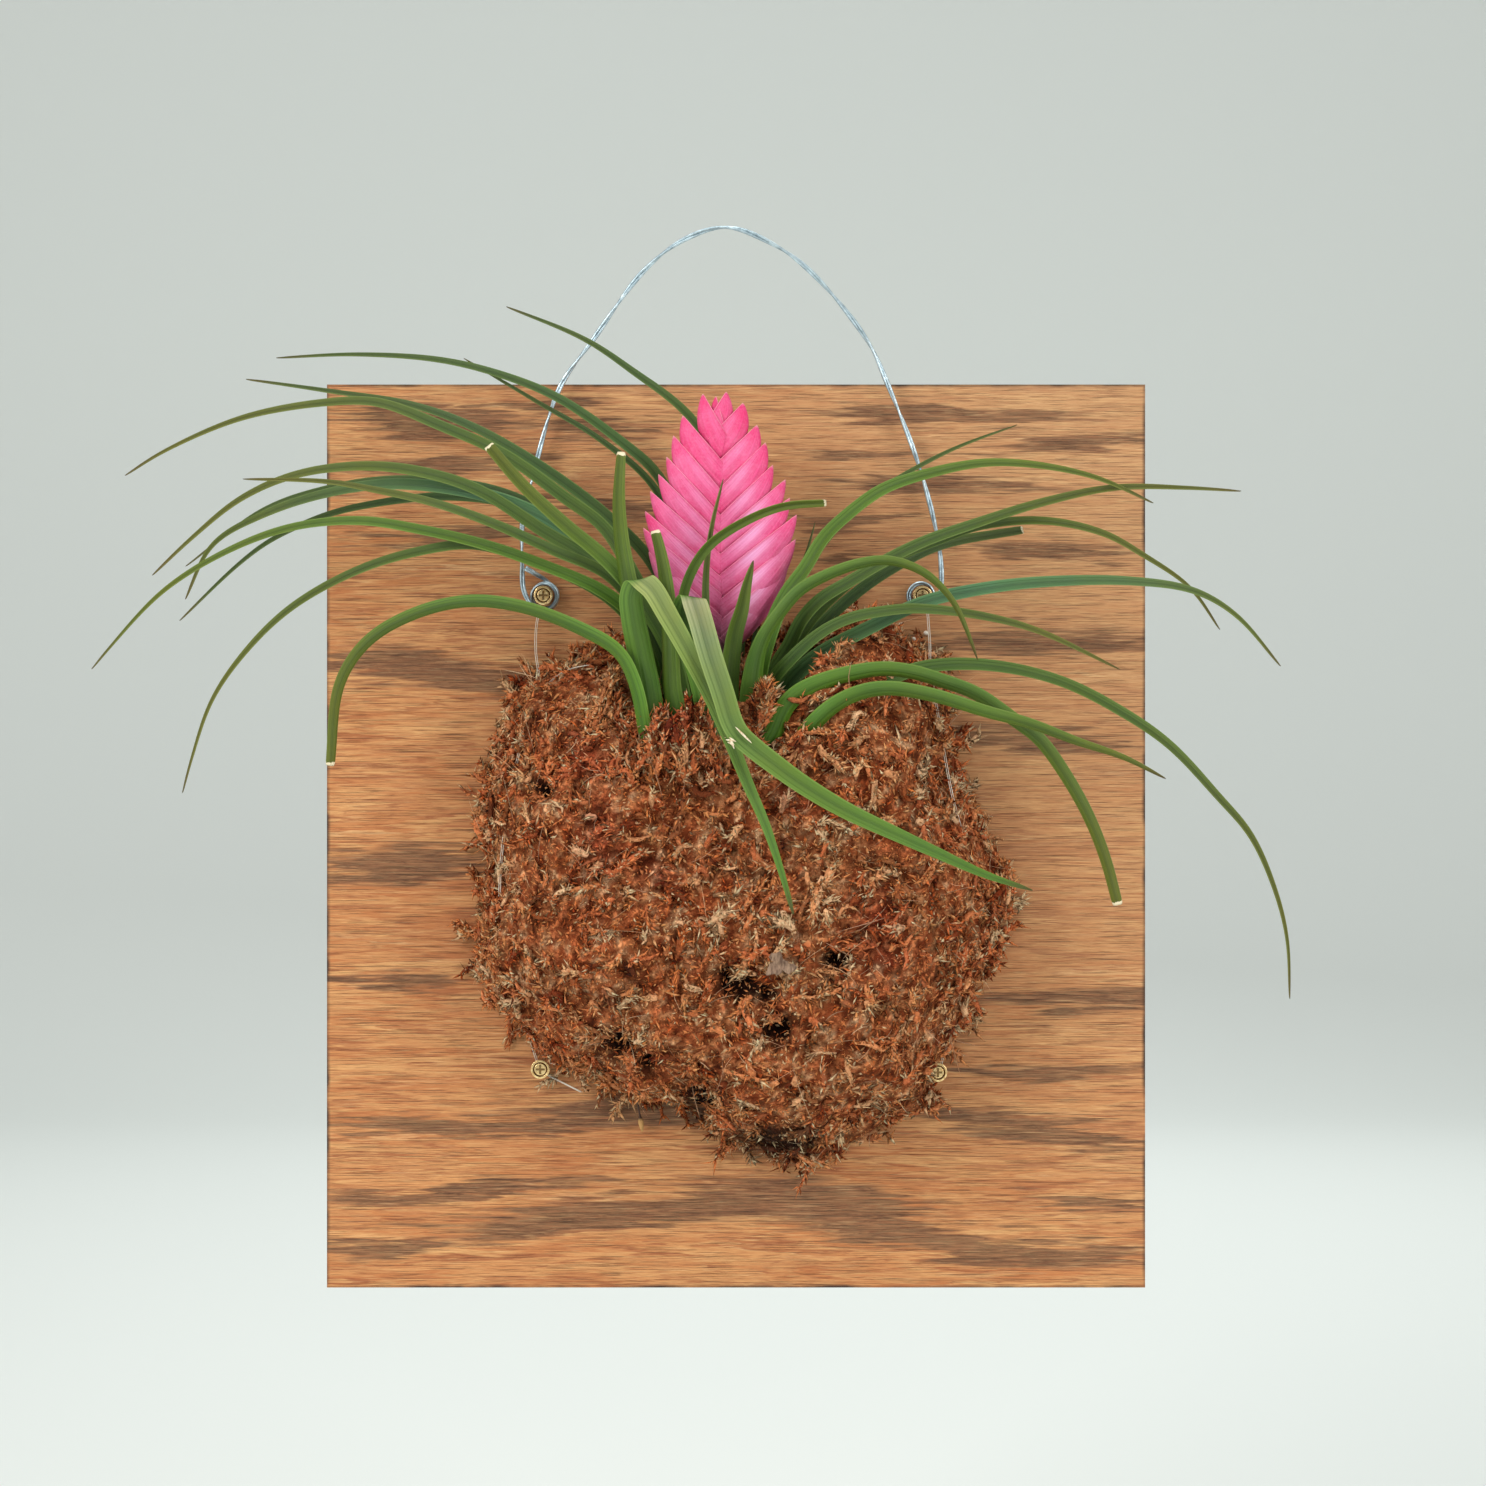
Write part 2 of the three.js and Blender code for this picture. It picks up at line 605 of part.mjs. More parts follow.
// The overlapping bracts and their stalk. Grown, only the stalk and the bowl round it are kept.
function quillSolid(grow = 0) {
  let body = null;
  for (let i = 0; i < quill.pairs; i += 1) {
    const t = i / (quill.pairs - 1);
    const halfWidth = quill.halfWidth * (1 - (i / (quill.pairs + 0.4)) ** 2) ** 1.2;
    for (const side of [-1, 1]) {
      const stagger = side * 1.3;
      const root = mix(quill.lowestRoot, quill.highestRoot, t) + stagger;
      const tip = mix(quill.lowestTip, quill.highestTip, t) + stagger;
      const halfThickness = mix(quill.halfThickness, 3, t) + 0.05 * side;
      const bract = bractSolid(side, root, tip, halfWidth, halfThickness);
      body = body ? body.add(bract) : bract;
    }
  }
  const stalkRing = ([z, half]) =>
    Array.from({ length: 8 }, (_, i) => {
      const angle = (i / 8) * 2 * Math.PI;
      const radius = half + grow;
      return new THREE.Vector3(radius * Math.cos(angle), radius * 0.9 * Math.sin(angle), z);
    });
  const bowl = grow ? 5 : 0;
  const stalkRings = [[-36, 3.2], [-5, 3.6], [4, 4.6 + bowl], [30, 3 + bowl]];
  const stalk = solidOf(skinOf(stalkRings.map(stalkRing)));
  const centre = place(quill.x, quill.z, quill.depth);
  const turned = new THREE.Matrix4().makeRotationY(-quill.lean);
  turned.setPosition(centre.x, centre.y, centre.z);
  return (grow ? stalk : body.add(stalk)).transform(turned.elements);
}

const group = new THREE.Group();

function finish(color, roughness, metalness = 0) {
  return new THREE.MeshStandardMaterial({ color, roughness, metalness });
}

function addPiece(name, geometry, material) {
  const mesh = new THREE.Mesh(geometry, material);
  mesh.name = name;
  group.add(mesh);
}

addPiece("board", geometryOf(boardSolid()), finish(0xa9652f, 0.6));
for (const [name, spot] of Object.entries(screwPlaces)) {
  addPiece(name, onBoard(geometryOf(screwSolid()), spot), finish(0xc7a35a, 0.35, 0.9));
}
addPiece("hanging_wire", geometryOf(hangingWireSolid()), finish(0xb9c4c8, 0.3, 0.95));

const crownSlot = crownSolid(slotGap);
const spike = largestBody(quillSolid().subtract(crownSlot));
addPiece("crown", geometryOf(crownSolid()), finish(0x6f7d3d, 0.7));
addPiece("quill", geometryOf(spike), finish(0xe75c9c, 0.5));

let mossBody = mossSolid().subtract(hollowSolid()).subtract(crownSlot).subtract(quillSolid(slotGap));
for (const [name, leaf] of Object.entries(leaves)) {
  const standing = largestBody(leafSolid(leaf).subtract(crownSlot));
  addPiece(name, geometryOf(standing), finish(0x4f7f3a, 0.5));
  mossBody = mossBody.subtract(leafSolid(leaf, slotGap));
}
for (const [name, line] of Object.entries(lines)) {
  addPiece(name, geometryOf(lineSolid(line)), finish(0xdfe6ea, 0.15));
}
for (const spot of Object.values(screwPlaces)) mossBody = mossBody.subtract(screwPocket(spot));
addPiece("moss_ball", geometryOf(largestBody(mossBody)), finish(0x8a4a26, 0.95));

export default group;
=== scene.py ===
import math
from functools import reduce

import bmesh
import bpy
import numpy as np
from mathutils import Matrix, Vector, noise
from mathutils.bvhtree import BVHTree


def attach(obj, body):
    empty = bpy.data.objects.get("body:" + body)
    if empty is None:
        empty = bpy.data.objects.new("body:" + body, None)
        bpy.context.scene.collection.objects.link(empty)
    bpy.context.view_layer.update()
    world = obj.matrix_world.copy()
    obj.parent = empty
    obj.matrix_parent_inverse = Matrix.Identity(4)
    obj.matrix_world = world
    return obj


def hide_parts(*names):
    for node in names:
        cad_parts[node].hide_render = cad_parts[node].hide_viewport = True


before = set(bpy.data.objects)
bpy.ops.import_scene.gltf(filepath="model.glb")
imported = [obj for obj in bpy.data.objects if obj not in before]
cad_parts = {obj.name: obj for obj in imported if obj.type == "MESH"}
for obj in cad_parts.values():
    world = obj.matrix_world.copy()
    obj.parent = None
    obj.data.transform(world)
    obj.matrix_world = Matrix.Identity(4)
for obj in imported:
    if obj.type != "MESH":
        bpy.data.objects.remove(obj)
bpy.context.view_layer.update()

print("frame loaded,", len(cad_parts), "solids")

# Lengths in the settings are in millimetres, and mm turns them into Blender's metres.
# A route is [x, z] as it shows on the board's face to the eye, and a depth is measured from that face.
mm = 0.001
eye = {"x": 2.3, "z": 30.7, "distance": 900, "pictureWidth": 490.4, "sensor": 36}
boardThickness = 6


# The true place, in metres, of a point that shows at x, z on the board's face.
def place(x, z, depth):
    nearer = (eye["distance"] - depth) / eye["distance"]
    return np.array([
        eye["x"] + (x - eye["x"]) * nearer,
        -boardThickness - depth,
        eye["z"] + (z - eye["z"]) * nearer,
    ]) * mm


def mix(a, b, t):
    return a + (b - a) * t


def ease(t):
    t = np.clip(t, 0, 1)
    return t * t * (3 - 2 * t)


# Lays colours over each other, each as strongly as its own mask says.
def overlay(colours, *layers):
    for colour, mask in layers:
        colours = mix(colours, colour, mask[:, None])
    return colours


# A colour as it is seen on a screen, 0 to 255, turned into the linear one that shaders take.
def seen(red, green, blue):
    parts = np.array([red, green, blue]) / 255
    return np.where(parts <= 0.04045, parts / 12.92, ((parts + 0.055) / 1.055) ** 2.4)


# the camera stands at the eye, and soft boxes and a pale room light the plant
softBoxes = {
    "lampLeft": {"place": (-1.3, -1.35, 0.75), "size": 0.9, "power": 23, "colour": (1, 0.97, 0.93)},
    "lampRight": {"place": (1.35, -1.25, 0.55), "size": 0.9, "power": 15, "colour": (1, 0.97, 0.93)},
    "lampTop": {"place": (-0.1, -0.5, 1.5), "size": 0.8, "power": 8, "colour": (0.95, 1, 0.98)},
    "lampBack": {"place": (0.2, 1.5, 0.9), "size": 1.2, "power": 9, "colour": (0.97, 1, 1)},
}
roomLight = {"Color": (0.9, 0.93, 0.92, 1), "Strength": 0.5}

bpy.ops.object.select_all(action="DESELECT")
cameraPlace = (eye["x"] * mm, -(eye["distance"] + boardThickness) * mm, eye["z"] * mm)
bpy.ops.object.camera_add(location=cameraPlace, rotation=(math.radians(90), 0, 0))
camera = bpy.context.object
camera.name = "frontCamera"
camera.data.sensor_width = eye["sensor"]
camera.data.lens = eye["sensor"] * eye["distance"] / eye["pictureWidth"]
camera.data.dof.use_dof = False
bpy.context.scene.camera = camera
bpy.context.scene.view_settings.view_transform = "Standard"

for name, lamp in softBoxes.items():
    bpy.ops.object.light_add(type="AREA", location=lamp["place"])
    light = bpy.context.object
    light.name = name
    light.data.size = lamp["size"]
    light.data.energy = lamp["power"]
    light.data.color = lamp["colour"]
    light.rotation_euler = (-light.location).to_track_quat("-Z", "Y").to_euler()

world = bpy.data.worlds.new("paleRoom")
world.use_nodes = True
for socket, value in roomLight.items():
    world.node_tree.nodes["Background"].inputs[socket].default_value = value
bpy.context.scene.world = world
print("camera and lamps placed")


# Adds a node; an input is either a value or another node's output socket.
def addNode(tree, kind, inputs=None, **settings):
    node = tree.nodes.new(kind)
    for name, value in settings.items():
        setattr(node, name, value)
    for name, value in (inputs or {}).items():
        if isinstance(value, bpy.types.NodeSocket):
            tree.links.new(value, node.inputs[name])
        else:
            node.inputs[name].default_value = value
    return node


# The result of a maths node, on numbers or on vectors.
def reckon(tree, operation, *values):
    return addNode(tree, "ShaderNodeMath", dict(enumerate(values)), operation=operation).outputs[0]


def reckonVector(tree, operation, *values):
    return addNode(tree, "ShaderNodeVectorMath", dict(enumerate(values)), operation=operation).outputs[0]


def softened(tree, mask, amount):
    return reckon(tree, "MULTIPLY", mask, amount)


# A value's run from low to high turned into one from start to end, and held there beyond.
def ramp(tree, value, low, high, start=0.0, end=1.0):
    return addNode(tree, "ShaderNodeMapRange", {
        "Value": value, "From Min": low, "From Max": high, "To Min": start, "To Max": end}).outputs[0]


def splitAxes(tree, vector):
    return addNode(tree, "ShaderNodeSeparateXYZ", {0: vector}).outputs


def objectPlace(tree):
    return addNode(tree, "ShaderNodeTexCoord").outputs["Object"]


# The colours that paint gave a mesh, as an attribute's outputs.
def painted(tree):
    return addNode(tree, "ShaderNodeAttribute", attribute_name="tint").outputs


def newMaterial(name, sockets):
    material = bpy.data.materials.new(name)
    material.use_nodes = True
    shader = material.node_tree.nodes["Principled BSDF"]
    for socket, value in sockets.items():
        shader.inputs[socket].default_value = value
    return material, material.node_tree, shader


def colour4(colour):
    return (*[float(c) for c in colour], 1)


# Blends two colours or sockets by a mask and gives back the colour socket.
def blendColours(tree, mask, first, second, way="MIX"):
    node = addNode(tree, "ShaderNodeMix", {"Factor": mask}, data_type="RGBA", blend_type=way)
    for socket, value in ((node.inputs[6], first), (node.inputs[7], second)):
        if isinstance(value, bpy.types.NodeSocket):
            tree.links.new(value, socket)
        else:
            socket.default_value = colour4(value)
    return node.outputs[2]


def dimmed(tree, colour, by):
    return blendColours(tree, 1.0, colour, by, "MULTIPLY")


# Links a skin's colour, its roughness (mask, least, most) and its bump (height, distance, strength).
def linkSkin(tree, shader, colour, rough=None, bump=None):
    tree.links.new(colour, shader.inputs["Base Color"])
    if rough:
        mask, least, most = rough
        tree.links.new(ramp(tree, mask, 0, 1, least, most), shader.inputs["Roughness"])
    if bump:
        relief = addNode(tree, "ShaderNodeBump", dict(zip(("Height", "Distance", "Strength"), bump)))
        tree.links.new(relief.outputs["Normal"], shader.inputs["Normal"])


def newGroup(name, inputs, output):
    group = bpy.data.node_groups.new(name, "ShaderNodeTree")
    for label, kind, value in inputs:
        socket = group.interface.new_socket(name=label, in_out="INPUT", socket_type=kind)
        if value is not None:
            socket.default_value = value
    group.interface.new_socket(name=output, in_out="OUTPUT", socket_type="NodeSocketFloat")
    return group, group.nodes.new("NodeGroupInput").outputs, group.nodes.new("NodeGroupOutput").inputs[output]


# Fibres: noise drawn out along one way, cut to a mask between low and high.
fibreGroup, given, wanted = newGroup("fibreMask", [
    ("Vector", "NodeSocketVector", None), ("Stretch", "NodeSocketVector", (1, 1, 1)),
    ("Scale", "NodeSocketFloat", 100), ("Low", "NodeSocketFloat", 0.4), ("High", "NodeSocketFloat", 0.6),
], "Mask")
stretched = reckonVector(fibreGroup, "MULTIPLY", given["Vector"], given["Stretch"])
drawn = addNode(fibreGroup, "ShaderNodeTexNoise",
                {"Vector": stretched, "Scale": given["Scale"], "Detail": 4, "Roughness": 0.6})
fibreGroup.links.new(ramp(fibreGroup, drawn.outputs["Fac"], given["Low"], given["High"]), wanted)

even = (1, 1, 1)  # the stretch of fibres that lie in no one way


def fibres(tree, vector, stretch, scale, low, high):
    return addNode(tree, "ShaderNodeGroup", {
        "Vector": vector, "Stretch": stretch, "Scale": scale, "Low": low, "High": high,
    }, node_tree=fibreGroup).outputs["Mask"]


# A material of two colours, blended by fibres, which also give the range of roughness and the bump.
def twoTone(name, sockets, pattern, first, second, rough=None, bump=None):
    material, tree, shader = newMaterial(name, sockets)
    mask = fibres(tree, objectPlace(tree), *pattern)
    linkSkin(tree, shader, blendColours(tree, mask, first, second),
             rough and (mask, *rough), bump and (mask, *bump))
    return material


# A long lens-shaped streak in a plank, soft at its rim.
streakGroup, given, wanted = newGroup("woodStreak", [
    ("Vector", "NodeSocketVector", None), ("Middle", "NodeSocketVector", (0, 0, 0)),
    ("Half", "NodeSocketVector", (1, 1, 1)), ("Tilt", "NodeSocketFloat", 0),
], "Mask")
axes = splitAxes(streakGroup, reckonVector(streakGroup, "SUBTRACT", given["Vector"], given["Middle"]))
lean = reckon(streakGroup, "MULTIPLY", axes["X"], given["Tilt"])
level = reckon(streakGroup, "SUBTRACT", axes["Z"], lean)
flat = addNode(streakGroup, "ShaderNodeCombineXYZ", {"X": axes["X"], "Z": level}).outputs[0]
ratio = reckonVector(streakGroup, "DIVIDE", flat, given["Half"])
reach = addNode(streakGroup, "ShaderNodeVectorMath", {0: ratio}, operation="LENGTH").outputs["Value"]
streakGroup.links.new(ramp(streakGroup, reach, 1.1, 0.72), wanted)


# Selects some objects and nothing else, the first of them as the active one.
def selectOnly(*objects):
    bpy.ops.object.select_all(action="DESELECT")
    for obj in objects:
        obj.select_set(True)
    bpy.context.view_layer.objects.active = objects[0]


# Makes obj a finished piece of the plant: its place goes into its mesh, and it rides with the board.
def finishPiece(obj, name, material, slot, replaced=()):
    selectOnly(obj)
    for modifier in list(obj.modifiers):
        bpy.ops.object.modifier_apply(modifier=modifier.name)
    bpy.ops.object.transform_apply(location=True, rotation=True, scale=True)
    obj.name = name
    obj.data.name = name
    obj.data.materials.clear()
    obj.data.materials.append(material)
    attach(obj, "root")
    if replaced:
        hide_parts(*replaced)
    obj.select_set(False)


def paint(mesh, colours):
    layer = mesh.attributes.get("tint") or mesh.attributes.new("tint", "FLOAT_COLOR", "POINT")
    full = colours if colours.shape[1] == 4 else np.column_stack([colours, np.ones(len(colours))])
    layer.data.foreach_set("color", full.astype(np.float32).ravel())


# A mesh object from arrays of corners, faces of equal size, and a colour for each corner.
def meshObject(name, corners, faces, colours=None):
    mesh = bpy.data.meshes.new(name)
    faces = np.asarray(faces, np.int32)
    mesh.vertices.add(len(corners))
    mesh.vertices.foreach_set("co", np.asarray(corners, np.float32).ravel())
    mesh.loops.add(faces.size)
    mesh.loops.foreach_set("vertex_index", faces.ravel())
    mesh.polygons.add(len(faces))
    mesh.polygons.foreach_set("loop_start", np.arange(0, faces.size, faces.shape[1], dtype=np.int32))
    mesh.update(calc_edges=True)
    if colours is not None:
        paint(mesh, colours)
    obj = bpy.data.objects.new(name, mesh)
    bpy.context.collection.objects.link(obj)
    return obj


def smoothAll(obj):
    obj.data.polygons.foreach_set("use_smooth", np.ones(len(obj.data.polygons), bool))


# A smooth run through the points (centripetal Catmull-Rom), in count even steps.
def smoothRoute(points, count):
    p = np.array(points, float)
    p = np.vstack([2 * p[0] - p[1], p, 2 * p[-1] - p[-2]])
    t = np.linspace(0, 1, 24, endpoint=False)[:, None]
    pieces = []
    for i in range(1, len(p) - 2):
        p0, p1, p2, p3 = p[i - 1:i + 3]
        d0, d1, d2 = [max(np.linalg.norm(b - a) ** 0.5, 1e-6) for a, b in ((p0, p1), (p1, p2), (p2, p3))]
        m1 = ((p1 - p0) / d0 - (p2 - p0) / (d0 + d1) + (p2 - p1) / d1) * d1
        m2 = ((p2 - p1) / d1 - (p3 - p1) / (d1 + d2) + (p3 - p2) / d2) * d1
        pieces.append(
            (2 * t**3 - 3 * t**2 + 1) * p1 + (t**3 - 2 * t**2 + t) * m1
            + (3 * t**2 - 2 * t**3) * p2 + (t**3 - t**2) * m2
        )
    line = np.vstack([*pieces, p[-2]])
    reached = np.concatenate([[0], np.cumsum(np.linalg.norm(np.diff(line, axis=0), axis=1))])
    stations = np.linspace(0, reached[-1], count + 1)
    return np.column_stack([np.interp(stations, reached, line[:, k]) for k in range(3)]), reached[-1]


def unit(vectors):
    return vectors / np.maximum(np.linalg.norm(vectors, axis=-1, keepdims=True), 1e-12)


# The faces of a tube whose last two corners are the middles of its ends.
def tubeFaces(rings, sides):
    i, j = np.meshgrid(np.arange(rings - 1), np.arange(sides), indexing="ij")
    k = (j + 1) % sides
    a, b, c, d = i * sides + j, i * sides + k, (i + 1) * sides + k, (i + 1) * sides + j
    j, k = j[0], k[0]
    first, last = np.full(sides, rings * sides), (rings - 1) * sides
    return np.concatenate([
        np.stack([a, b, c], -1).reshape(-1, 3), np.stack([a, c, d], -1).reshape(-1, 3),
        np.stack([k, j, first], -1), np.stack([last + j, last + k, first + 1], -1),
    ])


# A round tube of many sides along points, closed at both ends.
def tubeArrays(points, radius, sides=8):
    points = np.asarray(points, float)
    along = unit(np.gradient(points, axis=0))
    side = np.cross(along[0], (0.31, 0.52, 0.79))
    rings = []
    angles = np.linspace(0, 2 * np.pi, sides, endpoint=False)
    radii = np.broadcast_to(radius, len(points))
    for centre, forward, r in zip(points, along, radii):
        side = unit(side - forward * np.dot(side, forward))
        up = np.cross(forward, side)
        rings.append(centre + r * (np.cos(angles)[:, None] * side + np.sin(angles)[:, None] * up))
    corners = np.vstack([*rings, points[0], points[-1]])
    return corners, tubeFaces(len(points), sides)


def joinArrays(parts):
    corners, faces, start = [], [], 0
    for partCorners, partFaces in parts:
        corners.append(partCorners)
        faces.append(partFaces + start)
        start += len(partCorners)
    return np.vstack(corners), np.vstack(faces)


# The faces of one tube or sliver repeated for number of them, each with its own run of corners.
def repeatFaces(faces, number, each):
    return (np.arange(number)[:, None, None] * each + np.asarray(faces)[None]).reshape(-1, 3)


def arrayPiece(name, corners, faces, material, slot, replaced=(), colours=None):
    obj = meshObject(name, corners, faces, colours)
    smoothAll(obj)
    finishPiece(obj, name, material, slot, replaced)


# What each vertex, loop or triangle of a mesh holds, as rows of width numbers.
def rowsOf(items, what, width=3, kind=float):
    flat = np.zeros(len(items) * width, kind)
    items.foreach_get(what, flat)
    return flat.reshape(-1, width)


# A flat grid to be bent into shape, and its corners, which run from -0.5 to 0.5 both ways.
def addGrid(columns, rows):
    bpy.ops.object.select_all(action="DESELECT")
    bpy.ops.mesh.primitive_grid_add(x_subdivisions=columns, y_subdivisions=rows, size=1)
    grid = bpy.context.object
    return grid, rowsOf(grid.data.vertices, "co")


def addThickness(obj, thickness, offset=0.0):
    shell = obj.modifiers.new("thickness", "SOLIDIFY")
    shell.thickness = thickness * mm
    shell.offset = offset
    return shell


def addSmoothing(obj):
    smooth = obj.modifiers.new("smooth", "SUBSURF")
    smooth.levels = 1
    smooth.render_levels = 1
    smoothAll(obj)


# Gives a solid of the frame its material, where the solid itself is shown.
def skinNode(name, material):
    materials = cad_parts[name].data.materials
    materials.clear()
    materials.append(material)


board = {
    "width": 270, "height": 298, "plyPitch": 2,
    "orange": seen(190, 120, 68), "honey": seen(216, 162, 104), "beige": seen(186, 150, 108),
    "redBrown": seen(146, 80, 44), "grey": seen(98, 72, 48), "greyLight": seen(156, 118, 82),
    "cream": seen(236, 196, 142), "pore": seen(58, 34, 22),
    "edge": seen(62, 40, 28), "ply": seen(176, 128, 84),
    "rimFades": (1.9, 0.1),  # how far in from an edge the dark rim starts, and where it is full
    # noises that push the grain about: stretch, detail, how far each way in metres
    "drift": ((7, 7, 26), 3, (0.05, 0, 0.028)), "ragged": ((38, 38, 620), 5, (0.12, 0, 0.0095)),
    # fibre patterns: stretch, scale, low, high; the pushed ones follow those noises
    "grain": {
        "figure": ((1, 1, 11), 26, 0.38, 0.66), "reddish": ((1, 1, 16), 34, 0.5, 0.72),
        "hairline": ((1, 1, 24), 95, 0.45, 0.7), "fineLine": ((1, 1, 30), 190, 0.42, 0.62),
        "pores": ((0.3, 1, 17), 200, 0.56, 0.66), "darkLines": ((0.3, 1, 15), 110, 0.46, 0.62),
        "paleFlecks": ((0.4, 1, 15), 170, 0.56, 0.74), "creamBands": ((1, 1, 20), 20, 0.6, 0.76),
    },
    "pushed": ("figure", "reddish", "darkLines", "creamBands"),
    "creamAmount": 0.55, "streakAmount": 0.82, "streakLines": 0.6, "greyFrom": -0.06, "greyFull": 0.24,
    # the last layers over the stain: pattern, amount, colour
    "layers": [("hairline", 0.3, "redBrown"), ("fineLine", 0.34, "redBrown"), ("pores", 0.6, "pore"),
               ("paleFlecks", 0.45, "cream")],
    # grey-brown streaks: middle x and z, half length, half height, tilt
    "streaks": [
        (-100, 136, 36, 5, -0.03), (-44, 132, 18, 4.6, -0.04), (-56, 142, 28, 2.6, 0),
        (-98, 123, 30, 4.2, 0.02), (-46, 108, 20, 5, -0.04), (-99, 95.5, 23, 4, -0.03),
        (73, 141, 48, 3.8, -0.01), (38, 127, 20, 2.4, 0), (106, 129, 28, 3.6, 0.03),
        (66, 115.5, 40, 2.8, -0.05), (34, 106, 18, 3.4, 0), (36, 93.5, 18, 2.8, 0),
        (106, 93, 26, 3.4, 0.02), (98, 65, 40, 4.6, -0.02), (104, 33, 32, 4.2, -0.02),
        (-98, 57, 37, 7, -0.05), (-60, 53, 26, 6, -0.1),
        (-110, -8, 34, 6.5, -0.03), (-112, -50, 26, 3.6, -0.06), (112, -54, 34, 4, 0.02),
        (96, -76, 40, 3.2, 0.02), (92, -95, 52, 4.5, -0.1), (-96, -96, 42, 3, -0.03),
        (-40, -94, 40, 5, -0.08), (-92, -117, 48, 3.4, 0.03), (-40, -128, 60, 6.5, 0.03),
        (20, -124, 44, 9, -0.05), (84, -136, 60, 6, -0.12), (-110, -136, 30, 3.5, 0),
        (118, -120, 24, 3, -0.08),
    ],
}

stain, tree, shader = newMaterial("boardStain", {"Roughness": 0.55, "Specular IOR Level": 0.4})
where = objectPlace(tree)


def pushBy(stretch, detail, far):
    wide = reckonVector(tree, "MULTIPLY", where, stretch)
    push = addNode(tree, "ShaderNodeTexNoise", {"Vector": wide, "Scale": 1, "Detail": detail}).outputs["Color"]
    return reckonVector(tree, "MULTIPLY", reckonVector(tree, "SUBTRACT", push, (0.5, 0.5, 0.5)), far)


pushed = reckonVector(tree, "ADD", where, pushBy(*board["drift"]))
pushed = reckonVector(tree, "ADD", pushed, pushBy(*board["ragged"]))
streaks = [addNode(tree, "ShaderNodeGroup", {
    "Vector": pushed, "Middle": (x * mm, 0, z * mm),
    "Half": (halfLength * mm, 1, halfHeight * mm), "Tilt": tilt,
}, node_tree=streakGroup).outputs["Mask"] for x, z, halfLength, halfHeight, tilt in board["streaks"]]
streakMask = reduce(lambda first, second: reckon(tree, "MAXIMUM", first, second), streaks)
grain = {name: fibres(tree, pushed if name in board["pushed"] else where, *pattern)
         for name, pattern in board["grain"].items()}
colour = blendColours(tree, grain["figure"], board["orange"], board["honey"])
colour = blendColours(tree, grain["reddish"], colour, board["redBrown"])
# the stain is greyer toward the right and the top
axes = splitAxes(tree, pushed)
slant = reckon(tree, "ADD", axes["X"], axes["Z"])
fade = ramp(tree, slant, board["greyFrom"], board["greyFull"], end=0.6)
colour = blendColours(tree, fade, colour, board["beige"])
creamy = softened(tree, grain["creamBands"], board["creamAmount"])
colour = blendColours(tree, creamy, colour, board["cream"])
greyed = blendColours(tree, grain["hairline"], board["grey"], board["greyLight"])
colour = blendColours(tree, softened(tree, streakMask, board["streakAmount"]), colour, greyed)
inStreak = reckon(tree, "MULTIPLY", streakMask, grain["darkLines"])
colour = blendColours(tree, softened(tree, inStreak, board["streakLines"]), colour, board["pore"])
for name, amount, tone in board["layers"]:
    colour = blendColours(tree, softened(tree, grain[name], amount), colour, board[tone])
# the board is darker within about 2 mm of its edges: partly the sawn edges' own colour, with the plies showing
# a little, and partly painted shade along the arris
wobble = addNode(tree, "ShaderNodeTexNoise", {"Vector": where, "Scale": 90, "Detail": 3}).outputs["Fac"]
axes = splitAxes(tree, reckonVector(tree, "ABSOLUTE", where))
rims = [ramp(tree, axes[axis], *[(board[side] / 2 - inset) * mm for inset in board["rimFades"]])
        for axis, side in (("X", "width"), ("Z", "height"))]
# this dark rim is partly painted shade along the arris
worn = reckon(tree, "MULTIPLY", reckon(tree, "MAXIMUM", *rims), wobble)
plies = reckon(tree, "SINE", reckon(tree, "MULTIPLY", axes["Y"], 2 * math.pi / (board["plyPitch"] * mm)))
edgeColour = blendColours(tree, ramp(tree, plies, 0.2, 0.9, end=0.35), board["edge"], board["ply"])
colour = blendColours(tree, ramp(tree, worn, 0.2, 0.6), colour, edgeColour)
linkSkin(tree, shader, colour, bump=(reckon(tree, "MULTIPLY", grain["pores"], -1.0), 0.0003, 0.6))
skinNode("board", stain)
print("board stained")

stem = {"ribs": ((1, 1, 0.2), 900, 0.4, 0.7), "green": seen(112, 124, 70), "brown": seen(80, 62, 40)}
skinNode("crown", twoTone("stemSkin", {"Roughness": 0.7}, stem["ribs"], stem["green"], stem["brown"],
                          bump=(0.0004, 1.0)))
print("stem inside the moss coloured")

screws = {
    "places": {
        "screw_upper_left": (-63, 79), "screw_upper_right": (61, 79),
        "screw_lower_left": (-64, -76), "screw_lower_right": (66, -77),
    },
    "headRadius": 3.1, "headHeight": 1.5, "headFacets": 40, "edgeRadius": 0.09, "smoothBelow": 35,
    "underside": 7, "shankRadius": 1.6, "shankFacets": 20, "sunk": 4.4,
    # the head's rim, then the lip, the width and the depth of its groove, and how far the middle rises
    "rim": 0.6, "lip": 0.12, "groove": 0.45, "grooveDepth": 0.9, "middleRise": 0.85, "middleRim": 0.3,
    "crossLength": 3.0, "crossWidth": 0.7, "crossDepth": 0.65,
    # grooveShade is the painted shade of the head's groove and cross
    "bright": seen(248, 218, 160), "worn": seen(200, 154, 92), "grooveShade": seen(112, 76, 38),
    "grooveShadeFrom": 0.25, "grooveShadeFull": 0.75,  # behind the face
}

brass, tree, shader = newMaterial("brassScrew", {"Metallic": 1.0, "IOR": 1.5})
where = objectPlace(tree)
tarnish = fibres(tree, where, even, 900, 0.42, 0.72)
colour = blendColours(tree, tarnish, screws["bright"], screws["worn"])
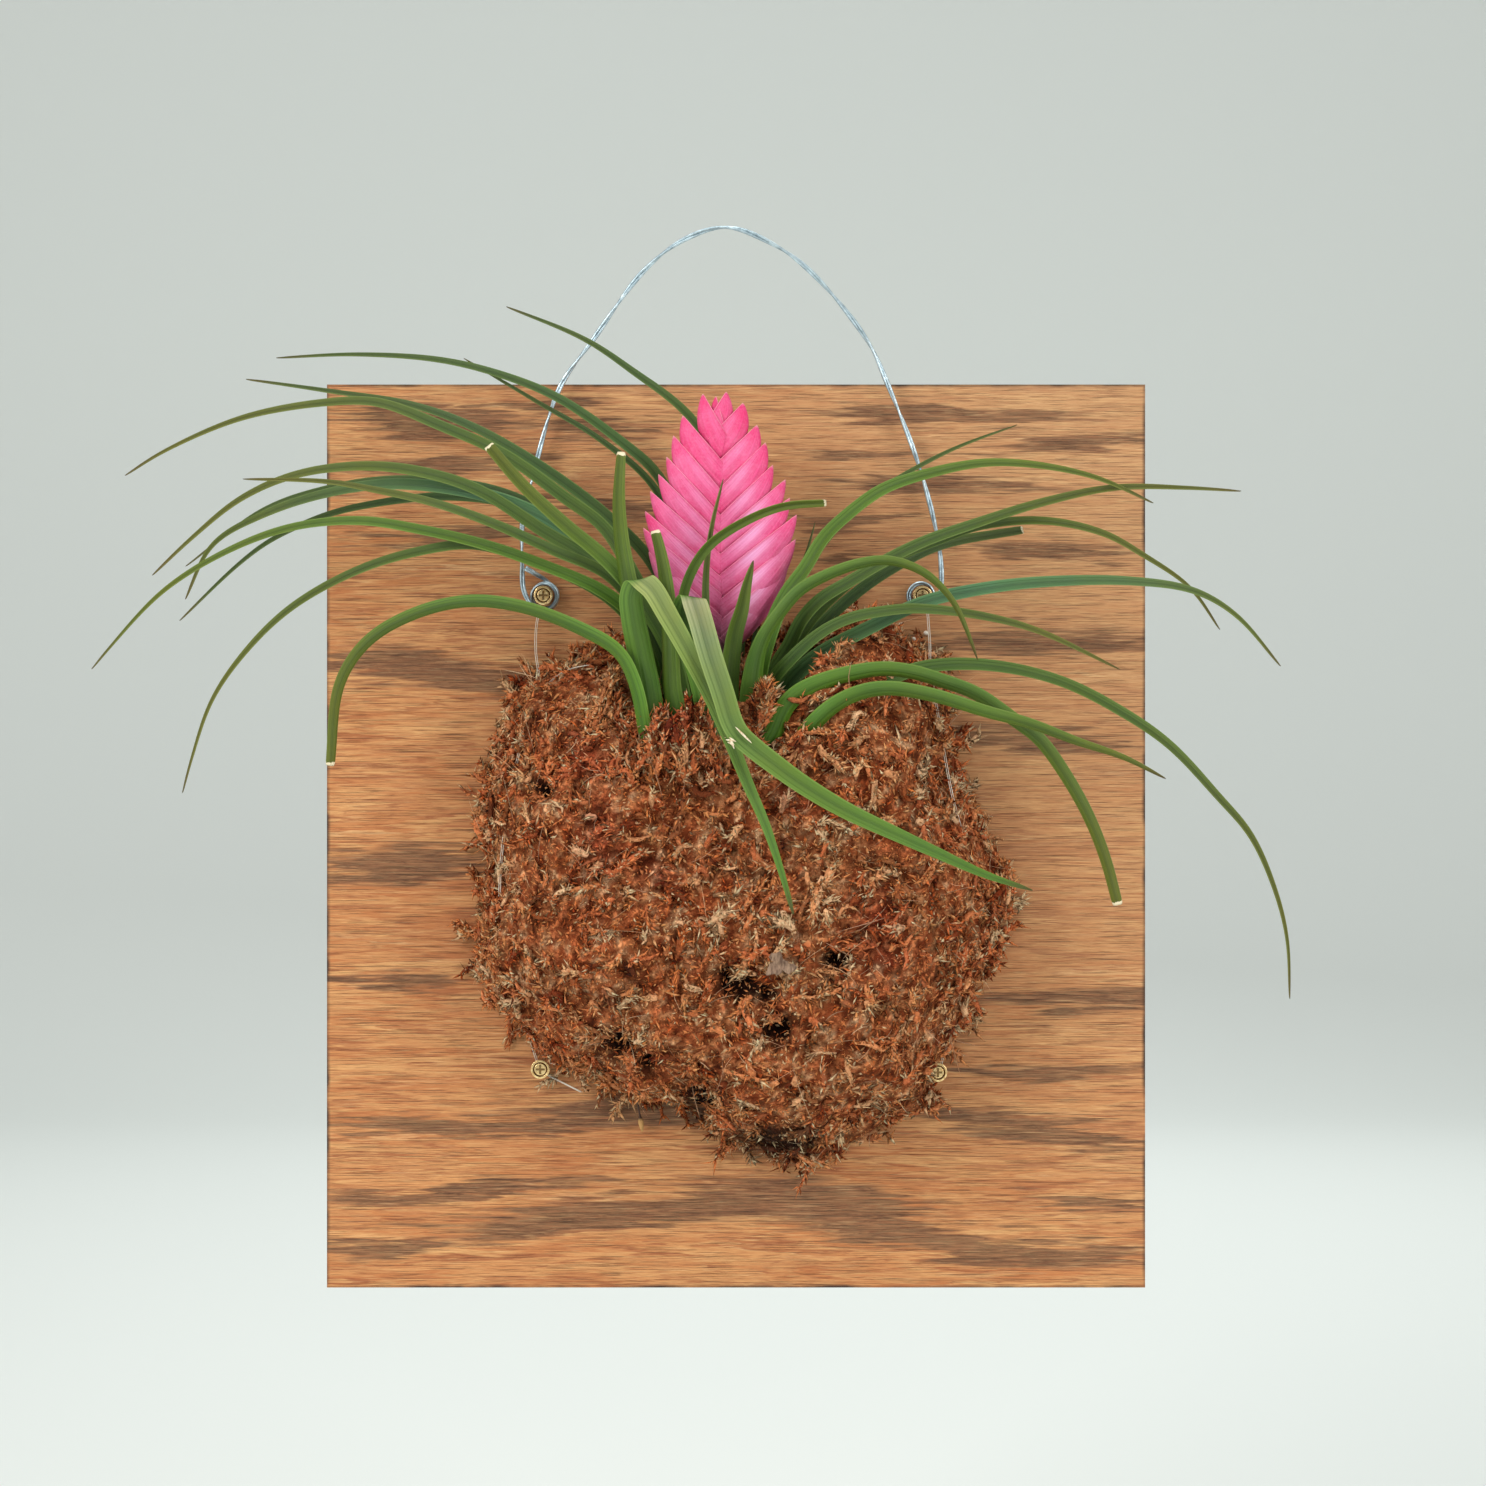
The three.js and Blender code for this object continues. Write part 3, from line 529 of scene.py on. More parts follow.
# painted shade darkens the groove and the cross, more deeply the further behind the head's face
face = -(boardThickness + screws["underside"] + screws["headHeight"])
behind = [(face + screws[far]) * mm for far in ("grooveShadeFrom", "grooveShadeFull")]
colour = blendColours(tree, ramp(tree, splitAxes(tree, where)["Y"], *behind), colour, screws["grooveShade"])
linkSkin(tree, shader, colour, rough=(tarnish, 0.2, 0.42), bump=(tarnish, 0.0001, 0.3))


# Selects the faces of a mesh in edit mode that lie furthest in a direction.
def selectFacesToward(obj, direction):
    bm = bmesh.from_edit_mesh(obj.data)
    bm.faces.ensure_lookup_table()
    top = max(face.calc_center_median().dot(direction) for face in bm.faces)
    for face in bm.faces:
        face.select = face.calc_center_median().dot(direction) > top - 1e-6
    bm.select_flush_mode()
    bmesh.update_edit_mesh(obj.data)


# A cylinder that faces the eye, its middle at x, y, z in millimetres.
def addRound(facets, radius, length, middle):
    bpy.ops.object.select_all(action="DESELECT")
    bpy.ops.mesh.primitive_cylinder_add(
        vertices=facets, radius=radius * mm, depth=length * mm,
        location=[part * mm for part in middle], rotation=(math.pi / 2, 0, 0))
    return bpy.context.object


def makeScrew(name, spot):
    x, z = spot
    s = screws
    front = -(boardThickness + s["underside"])
    head = addRound(s["headFacets"], s["headRadius"], s["headHeight"], (x, front - s["headHeight"] / 2, z))
    bpy.ops.object.transform_apply(location=False, rotation=True, scale=False)
    bpy.ops.object.mode_set(mode="EDIT")
    bpy.ops.mesh.select_mode(type="FACE")
    bpy.ops.mesh.select_all(action="DESELECT")
    selectFacesToward(head, Vector((0, -1, 0)))
    bpy.ops.mesh.inset(thickness=s["rim"] * mm)
    for inset, push in (("lip", s["grooveDepth"]), ("groove", -s["middleRise"])):
        bpy.ops.mesh.inset(thickness=s[inset] * mm)
        bpy.ops.mesh.extrude_region_move(TRANSFORM_OT_translate={"value": (0, push * mm, 0)})
    bpy.ops.mesh.inset(thickness=s["middleRim"] * mm)
    bpy.ops.object.mode_set(mode="OBJECT")
    bevel = head.modifiers.new("softEdges", "BEVEL")
    bevel.width = s["edgeRadius"] * mm
    bevel.segments = 2
    bpy.ops.object.modifier_apply(modifier=bevel.name)
    for wide, high in ((s["crossLength"], s["crossWidth"]), (s["crossWidth"], s["crossLength"])):
        bpy.ops.mesh.primitive_cube_add(size=1, location=(x * mm, (front - s["headHeight"]) * mm, z * mm))
        bit = bpy.context.object
        bit.scale = (wide * mm, 2 * s["crossDepth"] * mm, high * mm)
        recess = head.modifiers.new("crossRecess", "BOOLEAN")
        recess.operation = "DIFFERENCE"
        recess.object = bit
        bpy.context.view_layer.objects.active = head
        bpy.ops.object.modifier_apply(modifier=recess.name)
        bpy.data.objects.remove(bit)
    length = s["underside"] + s["sunk"]
    shank = addRound(s["shankFacets"], s["shankRadius"], length, (x, front + length / 2, z))
    selectOnly(head, shank)
    bpy.ops.object.join()
    bpy.ops.object.shade_smooth_by_angle(angle=math.radians(s["smoothBelow"]))
    finishPiece(head, name.replace("screw", "brass_screw"), brass, "screws", [name])


for name, spot in screws["places"].items():
    makeScrew(name, spot)
print("screws made")

# the hanging wire: two strands twisted together, from one upper screw over the arch to the other
wire = {
    "depth": 4.5, "strandRadius": 0.46, "twistRadius": 0.42, "twistLength": 44, "steps": 520, "facets": 8,
    "arch": [
        (-67, 76.2), (-69.6, 80.5), (-70.2, 90), (-70, 104), (-67, 117), (-58, 147), (-47, 163),
        (-30, 186), (-17, 196), (-3, 200), (13, 194), (25, 185), (43, 163), (50, 148), (60, 122),
        (66, 99), (67.4, 88), (67, 80), (64.6, 76.2),
    ],
    "coilRadius": 4.2, "coilPitch": 2.2, "coilTurns": 1.39, "coilFrom": 1.4, "coilSteps": 22,
    "tail": [(-69, 88, 6.6), (-65.8, 86.2, 5.2), (-62.4, 84.2, 2.6)],
    "patches": (even, 320, 0.35, 0.7), "bright": seen(214, 232, 240), "dull": seen(140, 160, 170),
}

steel = twoTone("twistedSteel", {"Metallic": 1.0}, wire["patches"], wire["bright"], wire["dull"],
                rough=(0.34, 0.5))


def coilPoints(spot, way):
    whole = wire["coilTurns"] * 2 * math.pi
    t = np.linspace(0, wire["coilTurns"], wire["coilSteps"])
    angle = -math.pi / 2 - way * whole + way * t * 2 * math.pi
    return np.column_stack([
        spot[0] + wire["coilRadius"] * np.cos(angle),
        -boardThickness - wire["coilFrom"] - wire["coilPitch"] * t,
        spot[1] + wire["coilRadius"] * np.sin(angle),
    ])


leftCoil = coilPoints(screws["places"]["screw_upper_left"], -1)
rightCoil = coilPoints(screws["places"]["screw_upper_right"], 1)
tail = [(x, -boardThickness - depth, z) for x, z, depth in wire["tail"]]
arch = [(x, -boardThickness - wire["depth"], z) for x, z in wire["arch"]]
wirePath, wireLength = smoothRoute([*tail, *leftCoil, *arch, *rightCoil[::-1]], wire["steps"])
along = unit(np.gradient(wirePath, axis=0))
side = np.cross(along[0], (0, 1, 0))
strands = ([], [])
for i, (centre, forward) in enumerate(zip(wirePath, along)):
    side = unit(side - forward * np.dot(side, forward))
    up = np.cross(forward, side)
    turn = 2 * math.pi * i * wireLength / wire["steps"] / wire["twistLength"]
    reach = (math.cos(turn) * side + math.sin(turn) * up) * wire["twistRadius"]
    strands[0].append(centre + reach)
    strands[1].append(centre - reach)
corners, faces = joinArrays([tubeArrays(strand, wire["strandRadius"], wire["facets"]) for strand in strands])
arrayPiece("twisted_wire", corners * mm, faces, steel, "wire", ["hanging_wire"])
print("wire made, mm along it:", round(wireLength))

# Each leaf: its route from base to tip, its depths at base, middle and tip, its widths at base and
# middle. A route with its own depths has them as third numbers. look names its colours.
leafBlade = {
    "crownX": -2, "turningDepth": 46, "outwardTurn": 0.55, "thickness": 0.62, "edgeThickness": 0.25,
    "lift": 0.44, "foldedLift": 0.45, "ripple": 0.09,
    "bodyFrom": 0.35, "rowLength": 4.2, "foldedRow": 2, "fewestRows": 20, "mostRows": 90, "columns": 6,
    # how much a cut leaf and a pointed one narrow, how sharply, and the share at the very tip
    "narrowing": 0.35, "tapering": 0.86, "taper": 2.4, "tipShare": 0.02,
    # base, middle and tip
    "looks": {
        "fresh": (seen(78, 122, 28), seen(84, 116, 38), seen(98, 106, 34)),
        "upright": (seen(66, 112, 28), seen(80, 108, 28), seen(96, 112, 34)),
        "deep": (seen(58, 92, 32), seen(66, 94, 46), seen(78, 94, 44)),
        "olive": (seen(66, 102, 32), seen(76, 100, 40), seen(102, 102, 40)),
        # the blue-green middle of this look is a painted reflection
        "tealSheen": (seen(64, 100, 38), seen(74, 114, 78), seen(100, 110, 46)),
        "folded": (seen(74, 118, 34), seen(90, 122, 42), seen(84, 126, 42)),
    },
    "middleAt": 0.45, "mottled": 0.18, "channelLight": 0.34, "yellowed": 0.55, "specked": 0.2,
    # offsets from the middle, as shares of the width, between which the painted shade of the groove and the
    # painted highlight of the margins come up
    "grooveFrom": 0.09, "grooveFull": 0.01, "grooveAmount": 0.36,
    "marginFrom": 0.42, "marginFull": 0.49, "marginAmount": 0.14,
    "vein": seen(186, 200, 178), "yellow": seen(255, 240, 186), "speck": seen(176, 186, 130),
    # trough is the colour of the groove's painted shade, and margin the painted highlight on the margins
    "trough": seen(150, 168, 150), "margin": seen(168, 184, 104),
    "scab": seen(232, 218, 184), "scabWidth": 0.34,
    "dry": seen(92, 66, 38), "dryFrom": 0.93, "dryOver": 0.07, "dryAmount": 0.75,
    "innerAmount": 0.85, "thinMargins": 0.75, "foldRows": 8,
    "plants": {
        "leaf_left_1": {"look": "deep", "widths": (5.6, 4.6), "depths": (14, 14, 14), "route": [
            (-3, 26), (1, 71), (1, 111), (-15, 138), (-35, 154), (-50, 164), (-76, 175)]},
        "leaf_left_2": {"look": "deep", "widths": (5.6, 4.4), "depths": (17.2, 17, 10), "route": [
            (-8, 26), (-10, 68), (-15, 94), (-26, 119), (-38, 130), (-58, 144), (-77, 152), (-97, 157),
            (-125, 159), (-152, 158)]},
        "leaf_left_3": {"look": "deep", "widths": (4.4, 3.4), "depths": (11.5, 11, 11), "route": [
            (-11, 26), (-13, 65), (-17, 91), (-27, 115), (-45, 131), (-65, 143), (-90, 158)]},
        "leaf_left_4": {"look": "deep", "widths": (5.6, 4.6), "depths": (20.2, 21, 9), "route": [
            (-13, 26), (-17, 65), (-28, 90), (-41, 104), (-56, 116), (-83, 133), (-106, 142), (-135, 147),
            (-162, 151)]},
        "leaf_left_5": {"look": "olive", "widths": (6, 4.9), "depths": (28.8, 34, 24), "route": [
            (-13, 26), (-22, 62), (-33, 84), (-44, 102), (-56, 111), (-77, 126), (-97, 135), (-118, 143),
            (-135, 143), (-163, 138), (-189, 127), (-202, 119)]},
        "leaf_left_6": {"look": "fresh", "widths": (7, 5.8), "depths": (45.8, 53, 58), "end": "cut",
            "route": [
            (-16, 26), (-21, 58), (-32, 78), (-43, 91), (-56, 102), (-70, 115), (-82, 129)]},
        "leaf_left_7": {"look": "olive", "widths": (6, 5), "depths": (34.8, 42.2, 36), "route": [
            (-15, 26), (-22, 56), (-32, 75), (-45, 89), (-63, 100), (-85, 114), (-104, 120), (-124, 122),
            (-146, 119), (-164, 111), (-179, 99), (-193, 86)]},
        "leaf_left_8": {"look": "olive", "widths": (5.6, 4.2), "depths": (43.6, 53, 46), "route": [
            (-17, 26), (-25, 61), (-41, 85), (-60, 94), (-80, 103), (-100, 110), (-118, 114), (-135, 117),
            (-163, 118)]},
        "leaf_left_9": {"look": "tealSheen", "widths": (6.4, 5.8), "depths": (31.4, 38.3, 30), "route": [
            (-14, 26), (-20, 56), (-32, 76), (-51, 96), (-68, 107), (-86, 113), (-114, 116), (-135, 113),
            (-156, 106), (-173, 96), (-182, 78)]},
        "leaf_left_10": {"look": "deep", "widths": (4.4, 3.2), "depths": (23.2, 25.5, 20), "route": [
            (-13, 26), (-18, 58), (-30, 78), (-50, 98), (-68, 110), (-86, 116), (-114, 118), (-135, 115),
            (-156, 108), (-182, 89)]},
        "leaf_left_11": {"look": "fresh", "widths": (5.8, 4.1), "depths": (41.4, 49.8, 34), "route": [
            (-18, 26), (-24, 55), (-32, 70), (-43, 80), (-63, 89), (-83, 96), (-104, 101), (-124, 104),
            (-146, 102), (-166, 95), (-189, 81), (-208, 61), (-213, 55)]},
        "leaf_left_12": {"look": "deep", "widths": (5, 4), "depths": (26.2, 30, 22), "route": [
            (-14, 26), (-21, 56), (-32, 74), (-48, 95), (-63, 104), (-77, 110), (-97, 112), (-117, 110),
            (-135, 106), (-153, 98), (-164, 90), (-184, 71)]},
        "leaf_left_13": {"look": "olive", "widths": (5.4, 3.9), "depths": (38.3, 46.3, 26), "route": [
            (-16, 26), (-23, 54), (-32, 68), (-43, 79), (-63, 89), (-86, 96), (-104, 94), (-124, 88),
            (-146, 76), (-161, 62), (-173, 45), (-180, 25), (-183, 14)]},
        "leaf_left_14": {"look": "fresh", "widths": (5.2, 4.6), "end": "cut", "route": [
            (-29, 26, 57), (-31, 38, 60), (-33.2, 49, 61), (-38.6, 60.4, 60), (-50, 67.6, 58),
            (-71, 75.6, 56), (-89, 77.4, 54.5), (-107, 73, 51), (-122, 64, 47), (-131, 50, 43),
            (-134, 23, 40)]},
        "leaf_front_1": {"look": "upright", "widths": (8, 8), "depths": (49.8, 55.5, 58),
            "narrowing": 0.6, "end": "cut", "route": [
            (-24, 23), (-28.8, 45), (-31.4, 58), (-35, 78), (-38.2, 98), (-39, 111), (-38, 127)]},
        "leaf_front_2": {"look": "folded", "widths": (9, 8.8), "crease": 5, "taper": 1.4,
            "inner": seen(158, 164, 100), "innerReach": 26, "route": [
            (-27, 24, 54), (-28.8, 45, 55.8), (-31.6, 60, 58), (-34, 72, 59), (-34.6, 80, 59.4),
            (-32, 85, 60.4), (-28, 82, 62.2), (-22.6, 73, 64.4), (-16.4, 62, 65.8), (-8, 46, 66),
            (-2, 32, 65.5), (4, 17, 65.5), (10, 3, 65.5), (15, -12, 65), (19, -26, 64)]},
        "leaf_front_3": {"look": "upright", "widths": (8, 7), "depths": (53.8, 55, 56),
            "narrowing": 0.5, "end": "cut", "route": [
            (-16, 26), (-21.3, 46), (-22, 60), (-23, 80), (-25, 93), (-27, 101)]},
        "leaf_front_4": {"look": "upright", "widths": (6.8, 4), "depths": (43, 46, 50), "end": "cut",
            "route": [
            (-8, 26), (-14, 58), (-18, 71), (-17, 82), (-10, 95), (3, 104), (16, 109), (30, 110)]},
        "leaf_front_5": {"look": "folded", "widths": (8, 8), "crease": 4, "inner": seen(174, 170, 142),
            "innerReach": 18, "route": [
            (-7, 30, 57), (-11, 50, 57.2), (-15.5, 65, 57.8), (-17.6, 74, 59), (-14.4, 79.4, 60.8),
            (-12, 72.2, 64.8), (-8.4, 59.5, 68.6), (-4.3, 47, 70.6), (-1.4, 37.6, 71), (1.2, 33.2, 71.4),
            (5.6, 29.2, 71.2), (11, 25, 71), (22, 17, 70.5), (36, 8.6, 70), (52, 1, 69), (66, -5.4, 66),
            (82, -12.6, 62), (98, -18, 58)]},
        "leaf_front_6": {"look": "olive", "widths": (4.6, 3.4), "depths": (39.8, 42, 43), "route": [
            (-7, 26), (-9, 58), (-10, 73), (-10, 86), (-8, 102), (-4, 118)]},
        "leaf_front_7": {"look": "upright", "widths": (6, 6.8), "depths": (43, 43, 44), "taper": 4,
            "route": [
            (-3, 26), (-2.5, 52), (-1, 66), (1.7, 75), (3.4, 83), (5.9, 91)]},
        "leaf_right_1": {"look": "fresh", "widths": (8, 5.4), "depths": (39, 36, 30), "route": [
            (5, 26), (8, 55), (13, 71), (17, 80), (23, 88), (29, 98), (36, 105), (48, 114), (62, 119),
            (82, 123), (102, 122), (120, 118), (138, 110)]},
        "leaf_right_2": {"look": "deep", "widths": (5, 3), "depths": (13.5, 15, 15), "route": [
            (5, 26), (9, 58), (18, 81), (31, 99), (40, 109), (55, 119), (72, 128), (93, 136)]},
        "leaf_right_3": {"look": "deep", "widths": (4, 2.4), "depths": (20.4, 20, 20), "route": [
            (4, 26), (9, 61), (15, 78), (20, 86), (23, 93), (26, 104)]},
        "leaf_right_4": {"look": "fresh", "widths": (11, 5), "depths": (46, 49, 52), "route": [
            (7, 26), (6, 52), (9, 65), (15, 74), (21, 81), (28, 85), (38, 89), (48, 91), (55, 90),
            (62, 87), (67, 83), (72, 77), (75, 71), (80, 58)]},
        "leaf_right_5": {"look": "olive", "widths": (6, 4.6), "depths": (28.8, 34, 26), "route": [
            (8, 26), (13, 55), (18, 63), (21, 70), (28, 78), (38, 84), (48, 90), (62, 97), (79, 103),
            (101, 110), (125, 115), (148, 115), (167, 114)]},
        "leaf_right_6": {"look": "olive", "widths": (6, 4.4), "depths": (26, 29, 24), "route": [
            (9, 26), (15, 55), (21, 66), (28, 75), (41, 86), (55, 93), (68, 98), (79, 102), (101, 104),
            (121, 100), (134, 93), (150, 82), (160, 68)]},
        "leaf_right_7": {"look": "deep", "widths": (6, 4.8), "depths": (23.2, 24, 22), "end": "cut",
            "route": [
            (11, 26), (16, 53), (23, 62), (29, 70), (41, 81), (55, 90), (68, 96), (95, 101)]},
        "leaf_right_8": {"look": "tealSheen", "widths": (6, 5), "depths": (32.4, 38, 30), "route": [
            (12, 26), (16, 48), (21, 54), (28, 60), (45, 69), (62, 77), (85, 82), (107, 84), (131, 84),
            (151, 81), (165, 73), (180, 56)]},
        "leaf_right_9": {"look": "olive", "widths": (5.6, 4.2), "depths": (35.6, 42, 38), "route": [
            (9, 26), (12, 51), (16, 56), (28, 67), (38, 72), (48, 74), (58, 75), (79, 73), (99, 68),
            (127, 55)]},
        "leaf_right_10": {"look": "olive", "widths": (6, 4.4), "depths": (41, 40, 26), "route": [
            (20, 26), (25, 35), (31, 41), (42, 47), (54, 53), (65, 56), (85, 56), (107, 51), (127, 41),
            (143, 30), (159, 13), (170, 0), (178, -18), (182, -34), (183, -54)]},
        "leaf_right_11": {"look": "fresh", "widths": (7, 5.2), "depths": (49.6, 51.5, 44), "end": "cut",
            "route": [
            (9, 28), (13, 34), (16, 42), (21, 47), (28, 50.4), (38, 53.4), (48, 55), (58, 54), (68, 51),
            (79, 47), (92, 38), (100, 32), (110, 18), (117, 5), (122, -8), (126, -23)]},
        "leaf_right_13": {"look": "deep", "widths": (4, 2.4), "depths": (17, 17, 17), "route": [
            (2, 26), (5, 58), (7, 71), (9, 80), (13, 88)]},
        "leaf_right_12": {"look": "fresh", "widths": (6.4, 5.4), "route": [
            (16, 26, 46), (21, 31, 48.5), (25.5, 36.5, 51), (30, 41, 52), (35, 44.5, 52.4),
            (42, 47.5, 52.6), (50, 48.6, 53), (66, 46, 54.5), (82, 41, 56.5), (97, 37, 58),
            (113, 31, 58.5), (128, 26, 58), (142, 19, 57)]},
    },
}

leafSkin, tree, shader = newMaterial("leafSkin", {"Specular IOR Level": 0.34})
uv = addNode(tree, "ShaderNodeUVMap", uv_map="blade").outputs["UV"]
where = objectPlace(tree)
tint = painted(tree)["Color"]
veins = fibres(tree, uv, (11, 0.002, 1), 1, 0.38, 0.62)
blotches = fibres(tree, where, even, 70, 0.35, 0.68)
specks = fibres(tree, uv, (30, 0.08, 1), 1, 0.66, 0.74)
colour = blendColours(tree, veins, dimmed(tree, tint, leafBlade["vein"]), tint)
yellower = dimmed(tree, tint, leafBlade["yellow"])
colour = blendColours(tree, softened(tree, blotches, leafBlade["yellowed"]), colour, yellower)
colour = blendColours(tree, softened(tree, specks, leafBlade["specked"]), colour, leafBlade["speck"])
# painted shade darkens the groove along the middle, and a painted highlight lightens the margins
bladeAxes = splitAxes(tree, uv)
offCentre = reckon(tree, "ABSOLUTE", reckon(tree, "SUBTRACT", bladeAxes["X"], 0.5))
groove, margin = [ramp(tree, offCentre, *[leafBlade[part + end] for end in ("From", "Full")],
                       end=leafBlade[part + "Amount"]) for part in ("groove", "margin")]
colour = blendColours(tree, groove, colour, dimmed(tree, tint, leafBlade["trough"]))
colour = blendColours(tree, margin, colour, leafBlade["margin"])
# a cut end has a thin, pale and uneven rim
uneven = fibres(tree, where, even, 700, 0.3, 0.7)
fromEnd = reckon(tree, "ADD", bladeAxes["Y"], uneven)
scab = ramp(tree, fromEnd, -leafBlade["scabWidth"], -0.5 * leafBlade["scabWidth"])
scab = reckon(tree, "MULTIPLY", scab, painted(tree)["Alpha"])
colour = blendColours(tree, scab, colour, leafBlade["scab"])
linkSkin(tree, shader, colour, rough=(veins, 0.4, 0.54), bump=(veins, 0.00025, 0.5))


# A creased blade goes up, folds over along a slanting crease and hangs in front of itself, lying flat.
def creasedLine(leaf, rows):
    points = [place(*point) for point in leaf["route"]]
    crease = leaf["crease"]
    spans = [np.linalg.norm(q - p) for p, q in zip(points, points[1:])]
    first = round(rows * sum(spans[:crease]) / sum(spans))
    up, upLength = smoothRoute(points[:crease + 1], first)
    down, downLength = smoothRoute(points[crease:], rows - first)
    centres = np.vstack([up, down[1:]])
    ways = unit(np.vstack([np.gradient(up, axis=0), np.gradient(down, axis=0)[1:]]))
    turned = np.where(np.arange(rows + 1) <= first, 1, -1)
    across = np.column_stack([ways[:, 2] * turned, np.zeros(rows + 1), -ways[:, 0] * turned])
    afterFold = np.array([-ways[first + 1, 2], 0, ways[first + 1, 0]])
    across[first] = unit(across[first - 1] + afterFold)
    for beside in (first - 1, first + 1):
        across[beside] += across[first] * 0.5
    openings = np.column_stack([np.zeros(rows + 1), turned, np.zeros(rows + 1)])
    flatness = np.clip(np.abs(np.arange(rows + 1) - first) / leafBlade["foldRows"], 0, 1)
    return centres, unit(across), openings, upLength + downLength, first, flatness


# The depth of a blade at the share t of its way, from its depths at base, middle and tip.
def depthAlong(depths, t):
    low, middle, high = depths
    return mix(low, middle, ease(2 * t)) if t < 0.5 else mix(middle, high, ease(2 * t - 1))


# A blade's centre line, the way it opens, and its width at even stations from base to tip.
def bladeStations(leaf, rows):
    b = leafBlade
    route = leaf["route"]
    points = [place(*point) if len(point) == 3 else
              place(*point, depthAlong(leaf["depths"], i / (len(route) - 1))) for i, point in enumerate(route)]
    fold, flatness = rows, np.ones(rows + 1)
    centres, length = smoothRoute(points, rows)
    along = unit(np.gradient(centres, axis=0))
    baseDepth = -centres[0][1] / mm - boardThickness
    inward = np.sign(b["crownX"] * mm - centres[0][0]) * b["outwardTurn"]
    opening = np.array([inward, -1.0 if baseDepth < b["turningDepth"] else 1.0, 0])
    openings = []
    for forward in along:
        opening = unit(opening - forward * np.dot(opening, forward))
        openings.append(opening)
    openings = np.array(openings)
    across = np.cross(along, openings)
    if "crease" in leaf:
        centres, across, openings, length, fold, flatness = creasedLine(leaf, rows)
    t = np.linspace(0, 1, rows + 1)
    base, middle = leaf["widths"]
    width = mix(base, middle, ease(t / b["bodyFrom"]))
    if leaf.get("end") == "cut":
        width = width * (1 - leaf.get("narrowing", b["narrowing"]) * t**2)
    else:
        width = width * (1 - b["tapering"] * t ** leaf.get("taper", b["taper"]))
        width = width * np.clip((1 - t) / b["tipShare"], 0.12, 1) ** 0.5
    return centres, across, openings, width * mm, t, length, fold, flatness


def makeLeaf(name, leaf, seed):
    b = leafBlade
    isCut = leaf.get("end") == "cut"
    rough = np.linalg.norm(np.diff(np.array([p[:2] for p in leaf["route"]], float), axis=0), axis=1).sum()
    rowLength = b["foldedRow" if "crease" in leaf else "rowLength"]
    rows = int(np.clip(rough / rowLength, b["fewestRows"], b["mostRows"]))
    centres, across, openings, width, t, length, fold, flatness = bladeStations(leaf, rows)
    blade, flat = addGrid(b["columns"], rows)
    mesh = blade.data
    mesh.uv_layers[0].name = "blade"
    u = flat[:, 0] * 2
    station = np.rint((flat[:, 1] + 0.5) * rows).astype(int)
    v = t[station]
    half = width[station] / 2
    # the channel, and a fine ripple along the margins
    ripple = np.array([noise.noise((s * 9, side * 3.1, seed * 7.7)) for s, side in zip(v, np.sign(u))])
    lift = b["lift"] * flatness[station] * np.where(station > fold, b["foldedLift"], 1)
    rise = lift * half * np.abs(u) ** 1.7 + b["ripple"] * half * ripple * u * u
    trough = -0.5 * b["thickness"] * mm
    corners = (centres[station] + across[station] * (u * half)[:, None]
               + openings[station] * (rise + trough)[:, None])
    mesh.vertices.foreach_set("co", corners.ravel())
    # colours: base, middle and tip, with painted shade in the trough and painted light on the margins, and dry
    # at an uncut end
    low, middle, high = b["looks"][leaf["look"]]
    toMiddle, toTip = ease(v / b["middleAt"]), ease((v - b["middleAt"]) / (1 - b["middleAt"]))
    colours = np.where(v[:, None] < b["middleAt"], mix(low, middle, toMiddle[:, None]),
                       mix(middle, high, toTip[:, None]))
    mottle = np.array([noise.noise((s * 5 + seed * 3.3, w * 0.8, 1.7)) for s, w in zip(v, u)])
    if "inner" in leaf:
        inner = np.where(station > fold, np.exp(-(v - t[fold]) * length / (leaf["innerReach"] * mm)), 0)
        colours = overlay(colours, (leaf["inner"], inner * b["innerAmount"]))
    # painted light and shade across the channel: darker in the middle, lighter toward the margins
    shading = 1 + b["mottled"] * mottle + b["channelLight"] * (np.abs(u) ** 1.5 - 0.4)
    colours = colours * shading[:, None]
    if not isCut:
        colours = overlay(colours, (b["dry"], ease((v - b["dryFrom"]) / b["dryOver"]) * b["dryAmount"]))
    paint(mesh, np.column_stack([np.clip(colours, 0, 1), np.full(len(v), float(isCut))]))
    # across the blade the map runs from 0 to 1, and along it in millimetres up to 0 at the tip
    mapped = rowsOf(mesh.uv_layers[0].data, "uv", 2)
    mapped[:, 1] = (mapped[:, 1] - 1) * length / mm
    mesh.uv_layers[0].data.foreach_set("uv", mapped.ravel())
    body = blade.vertex_groups.new(name="body")
    for i, weight in enumerate(1 - b["thinMargins"] * np.abs(u) ** 3):
        body.add([i], float(weight), "REPLACE")
    shell = addThickness(blade, b["thickness"])
    shell.vertex_group = "body"
    shell.thickness_vertex_group = b["edgeThickness"]
    addSmoothing(blade)
    finishPiece(blade, name.replace("leaf", "blade"), leafSkin, "leaves", [name])


for seed, (name, leaf) in enumerate(leafBlade["plants"].items()):
    makeLeaf(name, leaf, seed)

